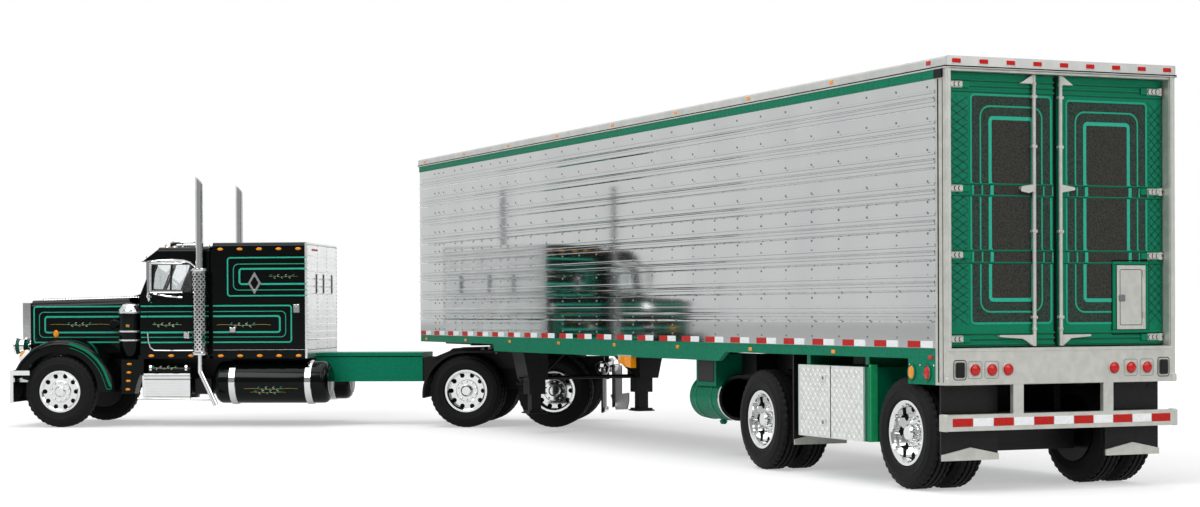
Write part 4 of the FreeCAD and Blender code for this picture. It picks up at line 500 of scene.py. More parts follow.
def jogged(path):
    """The same path with its upright runs shifted a little where two ribs cross the door."""
    out = []
    for a, b in zip(path, path[1:] + path[:1]):
        out.append(a)
        if abs(a[0] - b[0]) > 1e-6 or abs(a[1] - b[1]) < 4:
            continue
        steps = []
        for low, high in RIB_ZONES:
            steps += [(a[0], low - 0.25), (a[0] - 0.32, low + 0.15), (a[0] - 0.32, high - 0.15),
                      (a[0], high + 0.25)]
        out += steps if b[1] > a[1] else steps[::-1]
    return out


def hinge_plate(piece, sign, z):
    """A pale plate with three dark crescents beside the door's edge, and its barrel."""
    piece.box((DOOR - 0.34, 16.35, z - 0.52), (DOOR, 18.85, z + 0.52), "silver", 0.16, sign)
    for k in range(3):
        y = sign * 17.6 + 0.72 * (k - 1)
        curve = [(y + 0.1 + 0.26 * cos(t), z + 0.3 * sin(t)) for t in span(-1.4, 1.4, 8)]
        piece.ribbon(curve, 0.14, across(DOOR - 0.36), "gap")
    piece.lathe((DOOR - 0.1, sign * 18.9, z - 0.55), UP,
                [(0.4, 0), (0.4, 0.35), (0.33, 0.4), (0.33, 0.7), (0.4, 0.75), (0.4, 1.1)],
                "silver", 12)


def door_lines(piece, sign):
    """Panels, loops, quilting, ribs with a painted shadow line under each, and hinge plates of one
    door.
    """
    left = sign > 0
    y0, y1, low, high = (0.9, 14.9, 25, 58.7) if left else (-16.4, -1.85, 24.9, 58.3)
    inner, outer = (0.3, 19.2) if left else (-19.2, -0.3)
    edge = (15.4, 19.2) if left else (-19.2, -16.8)
    bare = (0.55, 0.7) if left else (-1.5, -0.9)
    over = across(DOOR - 2 * LIFT)

    def loop(inset, radius):
        return jogged(rounded(y0 + inset, y1 - inset, low + inset * 1.05, high - inset * 1.02,
                              radius))
    for inset, lift, look in ((0, LIFT, "speckle"), (3.3, LIFT * 1.5, "umber")):
        piece.patch(loop(inset, 0.5), across(DOOR - lift), look)
    for inset, radius, width, look in ((0, 0.6, 0.32, "teal_dark"), (1.62, 1.6, 0.26, "teal_dark"),
                                       (3.3, 0.5, 0.55, "teal")):
        piece.ribbon(loop(inset, radius), width, over, look, True)
    for a, b in (edge, bare):
        piece.patch([(a, 24.6), (b, 24.6), (b, 58.6), (a, 58.6)], across(DOOR - 0.02), "quilt")
    pitch = 1.3
    for z in (24.8 + pitch * i for i in range(26)):
        if z + pitch * 1.8 < 58.5:
            for a, b in (edge, edge[::-1]):
                piece.ribbon([(a, z), (b, z + pitch * 1.8)], 0.13, over, "stitch")
    for levels, rise, half, bevel, drop, width in (
            (EDGE_RIBS, 0.14, 0.16, 0.08, 0.25, 0.16),
            (RIB_ZONES[0] + RIB_ZONES[1], 0.1, 0.09, 0.05, 0.15, 0.12)):
        for z in levels:
            piece.box((DOOR - rise, inner, z - half), (DOOR, outer, z + half), "green", bevel)
            # a deep green line just under the rib: a painted shadow
            piece.ribbon([(inner, z - drop), (outer, z - drop)], width, over, "stitch")
    for level in HINGE_LEVELS:
        hinge_plate(piece, sign, level)
    if left:
        piece.box((DOOR - 0.12, 0.1, 21.7), (DOOR, 0.5, 61.7), "gap", 0.05)


for side, sign in SIDES:
    build("door_" + side, (sign,), "door_finish_" + side)(door_lines)


@build("door_right")
def access_panel_trim(piece):
    """The blank silver panel in its green frame on the right door."""
    x = DOOR - 0.3
    y0, y1, z0, z1 = -16.1, -10.7, 23.9, 33.7
    wide = 0.6
    for a, b, c, d in ((y0 - wide, y1 + wide, z1, z1 + 0.5), (y0 - wide, y1 + wide, z0 - 0.5, z0),
                       (y1, y1 + wide, z0, z1), (y0 - wide, y0, z0, z1)):
        piece.box((DOOR - 0.25, a, c), (DOOR, b, d), "green", 0.08)
    for grow, width, depth in ((0.68, 0.16, 0.07), (0.02, 0.1, 0.27)):
        piece.ribbon(rounded(y0 - grow, y1 + grow, z0 - grow, z1 + grow, 0.1), width,
                     across(DOOR - depth), "gap", True)
    piece.box((x - 0.06, y0 + 0.06, z0 + 0.06), (x, y1 - 0.06, z1 - 0.06), "silver", 0.04)
    piece.ribbon(rounded(y0 + 0.8, y1 - 0.6, z0 + 0.7, z1 - 0.7, 0.25), 0.09, across(x - 0.08),
                 "gap", True)
    piece.box((x - 0.24, y1 - 1.5, 28.2), (x, y1 - 0.4, 29.2), "rivet", 0.08)
    piece.box((x - 0.12, y0 + 0.15, z0 + 0.3), (x, y0 + 0.5, z1 - 0.3), "silver", 0.05)
    for z in (25.6, 31.9):
        piece.lathe((x - 0.12, y0 + 0.5, z), UP, [(0.18, 0), (0.18, 1)], "silver", 8)


def lock_details(piece, sign):
    """Keepers that hold a lock rod, and the small plate of the left rod's handle."""
    x, y = DOOR - 0.5, ROD_Y[sign]
    for z in (25.6, 38.4, 51, 58.4):
        piece.box((x - 0.36, y - 0.46, z), (DOOR, y + 0.46, z + 0.5), "silver", 0.12)
    for z in (23.9, 60.3):
        piece.lathe((x, y, z), UP, [(0.3, 0), (0.4, 0.08), (0.4, 0.4), (0.3, 0.48)], "silver", 14)
    if sign > 0:
        blade = ((0.2, 44.6), (1.2, 44.3), (2.5, 44.55), (2.6, 44.95), (1.3, 45.35), (0.2, 45.2))
        piece.patch([(y + a, z) for a, z in blade], across(x - 0.38), "silver")


for side, sign in SIDES:
    build("door_" + side, (sign,), "lock_guides_" + side)(lock_details)


@build("trailer")
def tail_trim(piece):
    """The cap's red markers, the sill's lamp beds and dock blocks, seals and foot corners."""
    for y in span(18.7, -18.7, 9):
        piece.box((-0.42, y - 0.75, 62.95), (-0.2, y + 0.75, 63.62), "lamp_red", 0.12)
        piece.box((-0.3, y - 0.9, 62.8), (-0.2, y + 0.9, 63.77), "cap", 0.05)
    for low, high, look, edge in (
            ((-0.33, -20.4, 62.42), (-0.2, 20.4, 62.58), "gap", 0.02),
            ((0.25, -19.6, door_high.z / MM + 0.06), (1.7, 19.6, 62.28), "silver", 0.05),
            ((-0.1, -20.2, 20.9), (0, 20.2, 21.3), "silver", 0.05),
            ((-0.08, -20.2, 16.05), (0, 20.2, 16.5), "silver", 0.04)):
        piece.box(low, high, look, edge)
    for sign in BOTH:
        for k, y in enumerate(TAIL_LAMPS[sign]):
            piece.lathe((-0.02, y, TAIL_LAMP_Z), BACK,
                        [(0.98, 0), (0.98, 0.08), (0.9, 0.14), (0.8, 0.04)], "silver", 28)
            if k:
                piece.ribbon(rounded(y - 1.2, y + 1.2, 16.95, 19.45, 0.4), 0.08, across(-LIFT),
                             "rivet", True)
        piece.box((-0.35, 17.35, 17.1), (0, 18.85, 19.35), "plastic", 0.3, sign)
        middle = sign * 18.1
        piece.ribbon(rounded(middle - 1.05, middle + 1.05, 16.8, 19.65, 0.4), 0.12, across(-LIFT),
                     "gap", True)
        piece.box((-0.25, 19.5, 16), (0.6, 20.5, 17.2), "silver", 0.15, sign)
        piece.box((0.25, 19.42, 21.5), (1.75, 19.62, 62.2), "silver", 0.04, sign)
        piece.box((-0.06, 19.75, 21.6), (0, 20, 61.8), "cap", 0.03, sign)


@build("trailer")
def underride_tape(piece):
    """Red and white blocks on the under-ride bar, its end caps and its brackets' bolts."""
    edges = span(-19.4, 19.4, 12)
    for i, (a, b) in enumerate(zip(edges, edges[1:])):
        # the white blocks glow with painted light
        piece.box((-0.07, a + 0.05, 9.95), (0.02, b - 0.05, 11.15),
                  "tape_white" if i % 2 else "tape_red", 0.03)
    for sign in BOTH:
        piece.box((-0.12, 19.9, 9.25), (1.55, 20.75, 11.78), "silver", 0.2, sign)
        piece.domes([(0.38, sign * 8, z) for z in (13, 15)], BACK, 0.28, 0.12, "silver", 6)


# Below the trailer


@build("trailer")
def flap_bolts(piece):
    """Bolts along the top of each mud flap and at its weight."""
    for x, sign in product((3.1, 48.6), BOTH):
        piece.domes([(x, sign * y, 15.3) for y in (11.5, 14.5, 17.5)], BACK, 0.2, 0.12, "plastic")
        piece.domes([(x - 0.28, sign * y, 5.3) for y in (11, 18)], BACK, 0.13, 0.06, "silver")


@build("trailer", BOTH)
def tool_box_trim(piece, sign):
    """Raised tread lozenges, the centre seam, latches, the glowing edge of the boxes (a painted
    highlight) and a dark block of painted shade beside it.
    """
    y = HALF * sign
    z0, z1, pitch = 6.9, 17.9, 0.78
    lozenges(piece, (24.4 + pitch / 2, z0 + pitch / 2), (26, 14), pitch, 0.3, 0.11,
             (y, y + sign * 0.13), "tread")
    piece.box((34.5, HALF - 0.05, z0 - 0.2), (34.7, HALF + 0.05, z1 + 0.2), "gap", 0.02, sign)
    for z in (8.5, 15.6):
        piece.box((36.1, y, z), (37.5, y + sign * 0.2, z + 1.2), "tread", 0.3)
        piece.domes([(36.8, y + sign * 0.19, z + 0.6)], (0, sign, 0), 0.35, 0.12, "rivet", 12)
    # the edge glows as a painted highlight; the dark block behind it is painted shade for the
    # box's shaded rear face
    for x, wide, look in ((22.4, 0.6, "leaf"), (23.1, 1.15, "gap")):
        piece.box((x, HALF - 1.6, 6.6), (x + wide, HALF - 0.25, 18.6), look, 0.1, sign)
    for x in (24.05, 44.95):
        piece.box((x, y - sign * 0.02, z0 - 0.25), (x + 0.18, y + sign * 0.12, z1 + 0.25),
                  "chrome", 0.04)


@build("trailer")
def reservoir_trim(piece):
    """The end ring, bands, spoked hub and dished end of the trailer's reservoir; the black dish is
    a painted reflection of the dark underside in the polished end, and a black sheet above is
    painted shade for the shaded hanger.
    """
    y, z, rear = 12, 11.2, 83.4
    for x, axis, profile, look, steps in (
            (rear - 0.12, AHEAD, [(3.55, 0), (4.12, 0), (4.2, 0.25), (4.12, 0.6), (3.62, 0.5),
                                  (3.55, 0)], "chrome", 40),
            # the dished end in satin black: a painted reflection of the dark underside in the
            # polished end
            (rear + 0.05, AHEAD, [(3.6, 0), (3.1, 0.8), (2, 1.7), (1.5, 1.9), (0.02, 1.9)],
             "satin", 40),
            (rear + 1.9, BACK, [(1.35, 0), (1.25, 0.7), (0.8, 1.2), (0.4, 1.35), (0.02, 1.38)],
             "silver", 28),
            (86.5, AHEAD, [(4.08, 0), (4.22, 0.08), (4.22, 0.5), (4.08, 0.58)], "green", 40),
            (92.8, AHEAD, [(4.08, 0), (4.22, 0.08), (4.22, 0.5), (4.08, 0.58)], "green", 40)):
        piece.lathe((x, y, z), axis, profile, look, steps)
    piece.tube([(rear + 0.9, y + a, z + b) for a, b in around(32, 2.3)], 0.2, "silver", 8, True)
    for (a, b), (c, d) in zip(around(5, 1.3, start=0.3), around(5, 3.3, start=0.3)):
        piece.tube([(rear + 1.6, y + a, z + b), (rear + 0.5, y + c, z + d)], 0.22, "rivet")
    piece.lathe((rear + 6.3, y, 6.9), (0, 0, -1), [(0.7, 0), (0.7, 0.35), (0.45, 0.7),
                                                  (0.02, 0.75)], "green", 16)
    # a black sheet for the shaded face of the hanger: painted shade
    piece.box((85.3, 16.02, 14.2), (91.7, 16.15, 18.3), "satin", 0.05)


@build("trailer")
def landing_trim(piece):
    """Collars, bolts, the braces and the crank of the landing gear."""
    x = KINGPIN - 42.3
    for sign in BOTH:
        y = 13 * sign
        for across_half, wide, z0, z1, edge in ((1.85, 1.85, 9.3, 10.1, 0.15),
                                                (1.75, 1.75, 13.2, 13.9, 0.15),
                                                (2.5, 2.2, 4.45, 4.75, 0.1)):
            piece.box((x - across_half, y - wide, z0), (x + across_half, y + wide, z1), "plastic",
                      edge)
        piece.domes([(x + dx, y + sign * 2.8, z) for z in (15, 16.8) for dx in (-1.1, 1.1)],
                    (0, sign, 0), 0.25, 0.14, "plastic", 6)
        piece.tube([(x, y - sign * 1.6, 12.6), (x, y - sign * 8.5, 18.9)], 0.35, "plastic")
    piece.tube([(x, 14.5, 12.3), (x, 16.6, 12.3), (x - 2.6, 16.9, 11.2), (x - 2.6, 18.2, 11.2)],
               0.25, "plastic")


@build("trailer", BOTH)
def trailer_lenses(piece, sign):
    """Red tail lenses, oval lamps in the green side boxes and amber lamps midway along."""
    y = HALF * sign
    for side in TAIL_LAMPS[sign]:
        piece.lathe((0.05, side, TAIL_LAMP_Z), BACK, [(0.8, 0), (0.8, 0.3), (0.74, 0.42),
                                                     (0.45, 0.54), (0.02, 0.58)], "lamp_red", 28)
    outline = [(112.8, 18.35), (112.8, 16.1), (115, 16.3), (119.1, 17.15), (118.8, 18.35)]
    piece.skin([[(115.5 + (x - 115.5) * k, y + sign * h, 17.3 + (z - 17.3) * k)
                 for x, z in outline] for k, h in ((1, -1.1), (1, 0.02), (0.95, 0.1))],
               "lamp_amber")
    piece.box((112.6, HALF - 1.1, 18.3), (119, HALF + 0.12, 18.55), "silver", 0.05, sign)
    for x, look in ((9.7, "lamp_amber"), (5.3, "lamp_red")):
        oval_lamp(piece, (x, y, 17.75), sign, (0.85, 1.05), look,
                  ((1, 0.05), (0.85, 0.25), (0.4, 0.36)), 24, (0.1, 0.12, 0.12, "rail", 6))
    piece.domes([(x, y, 18.85) for x in (3.6, 7.4, 10.4)], (0, sign, 0), 0.14, 0.08, "chrome", 6)


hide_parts("trailer_lamps")

# Wheels

WALL = 2.25
half_profile = [(5.1, WALL - 0.42), (5.35, WALL - 0.16), (5.6, WALL - 0.12), (6.4, WALL - 0.02),
                (6.55, WALL + 0.02), (6.7, WALL - 0.02), (7.4, WALL - 0.12), (7.5, WALL - 0.26),
                (7.95, WALL - 0.45), (8.3, WALL - 0.62), (8.46, WALL - 0.9), (8.5, 1.3),
                (8.5, 1.02), (8.15, 0.98), (8.15, 0.74), (8.5, 0.7), (8.5, 0.16), (8.15, 0.12)]
TYRE_PROFILE = half_profile + [(radius, -height) for radius, height in reversed(half_profile)]
TWIN_PITCH = 5.2
NOTCH = 0.22
NUTS, NUT_CIRCLE, HOLE_CIRCLE = 10, 2.15, 3.75


def tyres(axle, place, track_outer, twin):
    """Treaded tyres that stand for an axle's plain ones."""
    piece = Piece(axle + "_road_tyres", axle)
    for sign, inner in product(BOTH, (0, 1) if twin else (0,)):
        v = sign * (track_outer - WALL - TWIN_PITCH * inner)
        rings = []
        for radius, height in TYRE_PROFILE:
            low = radius - NOTCH if radius > 7.9 and abs(height) > 0.9 else radius
            rings.append([(place + a, v + height, TYRE_RADIUS + b) for a, b in (
                pair[i % 3 > 0] for i, pair in enumerate(zip(around(120, low),
                                                             around(120, radius))))])
        piece.skin(rings, "rubber", ())
    item = piece.done(28)
    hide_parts(axle + "_tyres")


def wheel_nuts(axle, place, track_outer, twin):
    """Lug nuts, hub cap rings and dark hand holes of the outer wheels, and the inner drums."""
    piece = Piece(axle + "_nuts", axle)
    for sign in BOTH:
        v = sign * (track_outer - 0.4 - (2 if twin else 0.5))
        out = (0, sign, 0)
        for (a, b), (c, d) in zip(around(NUTS, NUT_CIRCLE, start=pi / NUTS),
                                  around(NUTS, HOLE_CIRCLE)):
            piece.lathe((place + a, v + sign * 0.28, TYRE_RADIUS + b), out,
                        [(0.26, 0), (0.26, 0.22), (0.2, 0.3), (0.15, 0.5), (0.02, 0.55)],
                        "chrome", 6)
            piece.lathe((place + c, v - sign * 0.1, TYRE_RADIUS + d), out,
                        [(0.56, 0), (0.54, 0.02), (0.02, 0.02)], "gap", 16)
        piece.lathe((place, v + sign * 0.3, TYRE_RADIUS), out,
                    [(1.36, 0), (1.42, 0.1), (1.36, 0.25)], "chrome", 28)
        piece.lathe((place, sign * (track_outer - (9.7 if twin else 4.5) - 0.04), TYRE_RADIUS),
                    (0, -sign, 0), [(5.15, -0.3), (5.15, 0), (2.4, 0)], "satin", 40)
    piece.done()


for axle in AXLES:
    tyres(*axle)
    wheel_nuts(*axle)

# Tractor: lines and scrolls

CAB = 16.9
HOOD_FRONT, HOOD_LONG = 118.1, 29.5
# inset, front end, line width, upper and lower level and look of each loop
SIDE_LOOPS = ((0, 117.36, 0.34, 28.66, 20.05, "teal"),
              (1.35, 116, 0.2, 27.33, 21.28, "teal_dark"),
              (2.75, 114.56, 0.42, 26.2, 22.42, "teal"))
# inset, line width, upper and lower level, corner radius and look of each loop
SLEEPER_LOOPS = ((0, 0.32, 40, 31, 0.6, "teal"), (1.4, 0.2, 38.5, 32.35, 1.2, "teal_dark"),
                 (2.85, 0.42, 37.35, 33.75, 0.6, "teal"))


def hood_half(u):
    return 8.6 + (HOOD_FRONT - u) / HOOD_LONG * 1.8


def hood_top(u):
    return 30.2 + (HOOD_FRONT - u) / HOOD_LONG * 0.7


def hood_side(sign):
    """The hood's tapering side with its round top edge."""
    def surface(u, z):
        rise = max(0, z - (hood_top(u) - 2))
        inward = 2 - math.sqrt(max(4 - rise * rise, 0))
        return (u, sign * (hood_half(u) - inward + LIFT), z)
    return surface


def scroll(piece, surface, start, end, z, weight=1):
    """A fine gold and pale flourish: a long line with leaves about its middle."""
    wave = [(start + (end - start) * t, z + 0.12 * sin(t * 9)) for t in span(0, 1, 24)]
    piece.ribbon(wave, 0.09 * weight, surface, "gold")
    for k in range(-3, 4):
        x = (start + end) / 2 + k * 0.9
        lift = 0.5 if k % 2 else -0.45
        curl = [(x + 0.45 * sin(t), z + lift * sin(t / 2) ** 2) for t in span(0, 3.1, 7)]
        piece.ribbon(curl, 0.1 * weight, surface, "cream" if k % 3 else "teal")


@build("tractor", BOTH)
def side_stripes(piece, sign):
    """Nested loops from hood to sleeper on one side, the sleeper's upper loops and scrolls."""
    hood, cab = hood_side(sign), along(sign * (CAB + LIFT))
    for inset, front, width, high, low, look in SIDE_LOOPS:
        radius = 1.1 if look == "teal_dark" else 0.6
        piece.ribbon(split(rounded(88.75, front, low, high, radius, "l"), 3), width, hood, look)
        for z in (low, high):
            piece.ribbon([(72, z), (88.4, z)], width, cab, look)
        piece.ribbon(rounded(52.1 + inset, 70.9, low, high, radius, "r"), width, cab, look)
    for inset, width, high, low, radius, look in SLEEPER_LOOPS:
        piece.ribbon(rounded(48.4, 67.35 - inset, low, high, radius, "l"), width, cab, look)
    scroll(piece, hood, 98, 113.2, 24.3)
    scroll(piece, cab, 78.6, 85.6, 24.2)
    scroll(piece, cab, 57, 70, 24.1)
    scroll(piece, cab, 50.5, 57.5, 35.5, 0.55)


def lamp(piece, centre, sign, half=(0.72, 0.34)):
    """A small oval amber lamp with a thin bezel."""
    oval_lamp(piece, centre, sign, half, "lamp_amber", ((1, 0.02), (0.9, 0.2), (0.5, 0.32)), 16,
              (0.06, 0.04, 0.06, "satin", 5))


@build("tractor", BOTH)
def side_trim(piece, sign):
    """Diamond frames, latches, door lines, window trim, amber lamps and the low trim line."""
    cab = along(sign * (CAB + LIFT))
    u0, z0 = 60.85, 34
    tips = ((0, 2.75), (1.6, 0), (0, -2.75), (-1.6, 0))
    piece.skin([[(u0 + a * k, sign * (CAB + lift), z0 + b * k) for a, b in tips]
                for k, lift in ((1, 0), (0.97, 0.22), (0.62, 0.22), (0.55, 0.05))],
               "chrome", ())
    piece.patch([(u0 + a * 0.56, z0 + b * 0.56) for a, b in tips], along(sign * (CAB + 0.06)),
                "gap")
    for u, z, w, h in ((50.85, 27.9, 1.5, 2), (66.2, 22.9, 1.5, 1.3), (77.3, 21.8, 1.5, 1.5)):
        piece.box((u - w / 2, CAB, z - h / 2), (u + w / 2, CAB + 0.3, z + h / 2), "chrome", 0.12,
                  sign)
        piece.lathe((u, sign * (CAB + 0.28), z + h * 0.35), (0, sign, 0),
                    [(0.3, 0), (0.22, 0.18), (0.02, 0.2)], "chrome", 12)
    places = [(69.1 - 4.68 * i, z) for i in range(5) for z in (42.05, 16.85)]
    for u, z in places + [(85.9, 16.9), (81.1, 16.9), (76.3, 16.9)]:
        lamp(piece, (u, sign * CAB, z), sign)
    for i in range(4):
        lamp(piece, (91.25 + 0.14 * i, sign * CAB, 14.95 - 2 * i), sign, (0.6, 0.29))
    for line in ([(86.9, 40.5), (86.95, 31.5), (86.6, 22), (86.2, 18.9), (85.2, 18.1)],
                 [(75.1, 18.1), (75.1, 41)]):
        piece.ribbon(line, 0.14, cab, "gap")
    piece.ribbon(rounded(75.9, 85.35, 31.95, 38.55, 0.6), 0.3, cab, "satin", True)
    # side lines: height over the cab's side, radius, look, steps and the line's points
    for lift, radius, look, steps, line in (
            (0.1, 0.16, "silver", 8, [(88.2, 6.86), (71.5, 6.38)]),
            (0.08, 0.17, "chrome", 8, [(86.7, 22.4), (86.55, 20.4), (86.1, 18.9), (85.2, 18.15),
                                       (82, 18.1), (75.6, 18.1)]),
            (0.02, 0.06, "rivet", 6, [(48.8, 18.25), (70.8, 18.2)]),
            (0.25, [0.34, 0.42, 0.44, 0.4, 0.3, 0.2, 0.18], "chrome", 10,
             [(85.6, 39.2), (84, 39.35), (80.5, 39.45), (77.8, 39.3), (76.4, 38.9),
              (75.3, 38.1), (74.8, 37.3)]),
            (0.15, 0.24, "chrome", 8, [(85.2, 31.6), (82, 31), (78.3, 30.7)]),
            (-0.15, 0.25, "satin", 8, [(81.2, 32), (80.9, 38.5)])):
        piece.tube([(u, sign * (CAB + lift), z) for u, z in line], radius, look, steps)


@build("tractor")
def hood_trim(piece):
    """The hood's centre strip, its seams and side lamps."""
    strip = span(93.9, 117.9, 62)
    piece.tube([(u, 0, hood_top(u) + 0.1) for u in strip], 0.3, "chrome")
    for u in strip:
        piece.box((u - 0.08, -0.42, hood_top(u) + 0.1), (u + 0.08, 0.42, hood_top(u) + 0.48),
                  "chrome", 0.03)
    for sign in BOTH:
        lamp(piece, hood_side(sign)(111.8, 22.1), sign, (0.7, 0.95))
        piece.ribbon(split([(117.9, 29.6), (93, 30.1)], 2), 0.08,
                     lambda u, z: (u, sign * (hood_half(u) - 1.1), hood_top(u) + 0.02), "gap")


@build("tractor", BOTH)
def nose_lamps(piece, sign):
    """A headlamp bowl with its ring and lens, and the turn signal on the fender."""
    for u, profile, look in (
            (118, [(0.02, -0.25), (0.9, -0.1), (1.45, 0.4), (1.74, 1.2), (1.8, 2),
                     (1.8, 2.2)], "stitch"),
            (119.95, [(1.76, 0), (1.96, 0.08), (2.02, 0.3), (1.95, 0.52), (1.8, 0.6),
                      (1.6, 0.45)], "chrome"),
            (120.37, [(1.62, 0), (1.4, 0.14), (1, 0.25), (0.5, 0.32), (0.02, 0.34)], "glass"),
            (120.3, [(1.6, 0), (1.2, -0.1), (0.02, -0.14)], "chrome")):
        piece.lathe((u, 12.6 * sign, 19.2), AHEAD, profile, look, 40)
    down, away = Vector((0.699, 0, -0.715)), Vector((0.715, 0, 0.699))
    # the lamp's white housing glows with painted light
    for reach, half, radius, look in ((12.15, 1.6, 0.85, "tape_white"),
                                      (12.55, 1.25, 0.72, "lamp_amber")):
        middle = Vector((STEER_REACH, 18 * sign, TYRE_RADIUS)) + away * reach
        piece.lathe(middle - down * half, down,
                    [(0.02, 0), (radius * 0.7, 0.1), (radius, 0.5), (radius, half * 2 - 0.5),
                     (radius * 0.7, half * 2 - 0.1), (0.02, half * 2)], look, 20)


@build("tractor", BOTH)
def wheel_well_shade(piece, sign):
    """A dark sheet of painted shade between a front fender's arch and its tyre."""
    piece.skin([[(STEER_REACH + r * cos(t), sign * v, TYRE_RADIUS + r * sin(t))
                 for r, v in ((8.58, 14.3), (11.2, 14.3), (11.2, 14.1), (8.58, 14.1))]
                for t in (radians(a) for a in span(15, 160, 25))], "satin")


@build("tractor", BOTH)
def fender_stripes(piece, sign):
    """Green bands that follow a fender's arch to a small squared loop at its tail."""
    for width, line in (
            (0.6, smooth_path([(105.2, 19.9), (103.2, 19.2), (101, 18.15), (98.95, 16.55),
                               (97.5, 14.8), (96.45, 13), (95.6, 10.8), (95.1, 9.7)])),
            (0.14, smooth_path([(105, 18.9), (103, 18.2), (101.2, 17.2), (99.6, 15.8),
                                (98.3, 14.2), (97.3, 12.4), (96.6, 10.6), (96.2, 9.4)])),
            (0.16, [(96.2, 9.4), (96, 9.1), (95.1, 9.1), (94.9, 9.3), (95.1, 9.8)])):
        piece.ribbon(line, width, along(sign * (19.2 + LIFT)), "green")


@build("tractor", BOTH)
def air_cleaner_cans(piece, sign):
    """A can with chrome dome and bands, a small blank plate and its duct into the hood."""
    u, v = 91.55, 14.3 * sign
    for z, profile, look in (
            (16.1, [(0.02, 0), (1.6, 0), (2.25, 1.2), (2.7, 2.5), (2.85, 3.3), (2.85, 11)],
             "night"),
            (26.9, [(2.84, 0), (2.97, 0.1), (2.97, 0.5), (2.84, 0.6)], "sheet"),
            (27, [(2.84, 0), (2.93, 0.12), (2.93, 0.5), (2.7, 1.05), (2.25, 1.65), (1.65, 2.15),
                    (0.85, 2.33), (0.02, 2.35)], "chrome"),
            (22.4, [(2.83, 0), (2.98, 0.1), (2.98, 0.45), (2.83, 0.55)], "sheet"),
            (20.3, [(2.83, 0), (2.98, 0.1), (2.98, 0.45), (2.83, 0.55)], "sheet")):
        piece.lathe((u, v, z), UP, profile, look, 56)
    for (a, b), (c, d) in zip(around(12, 2.82), around(12, 1.85)):
        piece.tube([(u + a, v + b, 27.7), (u + c, v + d, 29)], 0.07, "chrome", 5)
    piece.box((u - 0.5, v + sign * 2.6, 23.6), (u + 0.5, v + sign * 2.89, 24.4), "gold", 0.2)
    piece.tube([(92.5, 13.2 * sign, 24.4), (94.6, 12.2 * sign, 24.4), (96.3, 11.7 * sign, 24.4)],
               0.85, "night", 20)
    piece.lathe((96.3, 9.6 * sign, 24.4), (0, sign, 0), [(1, 0), (1.1, 1.3), (1.1, 2.9),
                                                        (0.9, 3.1), (0.02, 3.1)], "night", 24)


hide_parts("air_cleaners")


@build("tractor", BOTH)
def stack_trim(piece, sign):
    """A smooth pipe, and its heat shield with end rings and rows of dark holes."""
    u, v = 73.6, 18.7 * sign
    piece.lathe((u, v, 37.3), UP, [(0.925, 0), (0.925, 18.7)], "chrome", 48)
    piece.lathe((u, v, 17.3), UP, [(1.67, 0), (1.67, 20)], "chrome", 64)
    for z, tall, wide in ((17, 0.9, 1.95), (36.8, 0.8, 2)):
        piece.lathe((u, v, z), UP, [(1.66, 0), (wide - 0.05, 0.1), (wide, 0.3), (wide, tall - 0.3),
                                    (wide - 0.05, tall - 0.1), (0.95, tall)], "chrome", 48)
    rows, pitch, holes, shield = 31, 0.59, 10, 1.668
    for row in range(rows):
        for a, b in around(holes, 1, start=2 * pi / holes * (0.5 * (row % 2) + 0.3)):
            way = Vector((a, b, 0))
            piece.lathe(Vector((u, v, 18.4 + pitch * row)) + way * shield, way,
                        [(0.25, 0), (0.24, 0.04), (0.01, 0.04)], "gap", 6)


def can_side(sign, v, z, radius, bend):
    """The outer side of a lying can; the second coordinate runs round it."""
    return lambda u, s: (u, sign * (v + radius * cos(s / bend)), z + radius * sin(s / bend))


@build("tractor", BOTH)
def tank_trim(piece, sign):
    """The fuel tank with bands and scrolls, the small tank's bands and the step box's plate."""
    v, z = 12.6, 10.5
    piece.box((71.9, 8.3, 7.7), (76.2, 14.4, 11.6), "satin", 0.2, sign)
    tank = can_side(sign, v, z, 4.98, 4.95)
    scroll(piece, tank, 50.5, 63.5, -1.5)
    scroll(piece, tank, 53.5, 62, -2.4)
    piece.lathe((43.55, v * sign, z), AHEAD,
                [(0.02, 0), (3.2, 0.06), (4.3, 0.4), (4.8, 0.95), (4.98, 1.7), (4.98, 25.8),
                 (4.8, 26.5), (4.3, 27.05), (3.2, 27.4), (0.02, 27.48)], "night", 72)
    for u in (47.4, 65.6):
        piece.lathe((u, v * sign, z), AHEAD, [(5.1, 0), (5.24, 0.1), (5.24, 1.5), (5.1, 1.6)],
                    "chrome", 72)
    v, z = 15.4, 13.85
    for u in (77.3, 85.9):
        piece.lathe((u, v * sign, z), AHEAD, [(1.15, 0), (1.26, 0.08), (1.26, 0.6), (1.15, 0.7)],
                    "chrome", 24)
    scroll(piece, can_side(sign, v, z, 1.18, 1.15), 79.6, 85.6, 0.1)
    lozenges(piece, (77.1, 7.2), (17, 8), 0.62, 0.24, 0.08, (sign * 17, sign * 17.05), "chrome")
    piece.box((76.5, 16.95, 12.2), (87.8, 17.08, 12.65), "chrome", 0.05, sign)
    for z, wide in ((12.1, 0.16), (11.3, 0.22), (7.15, 0.12)):
        piece.ribbon([(76.6, z), (87.7, z)], wide, along(sign * 17.1), "rivet")


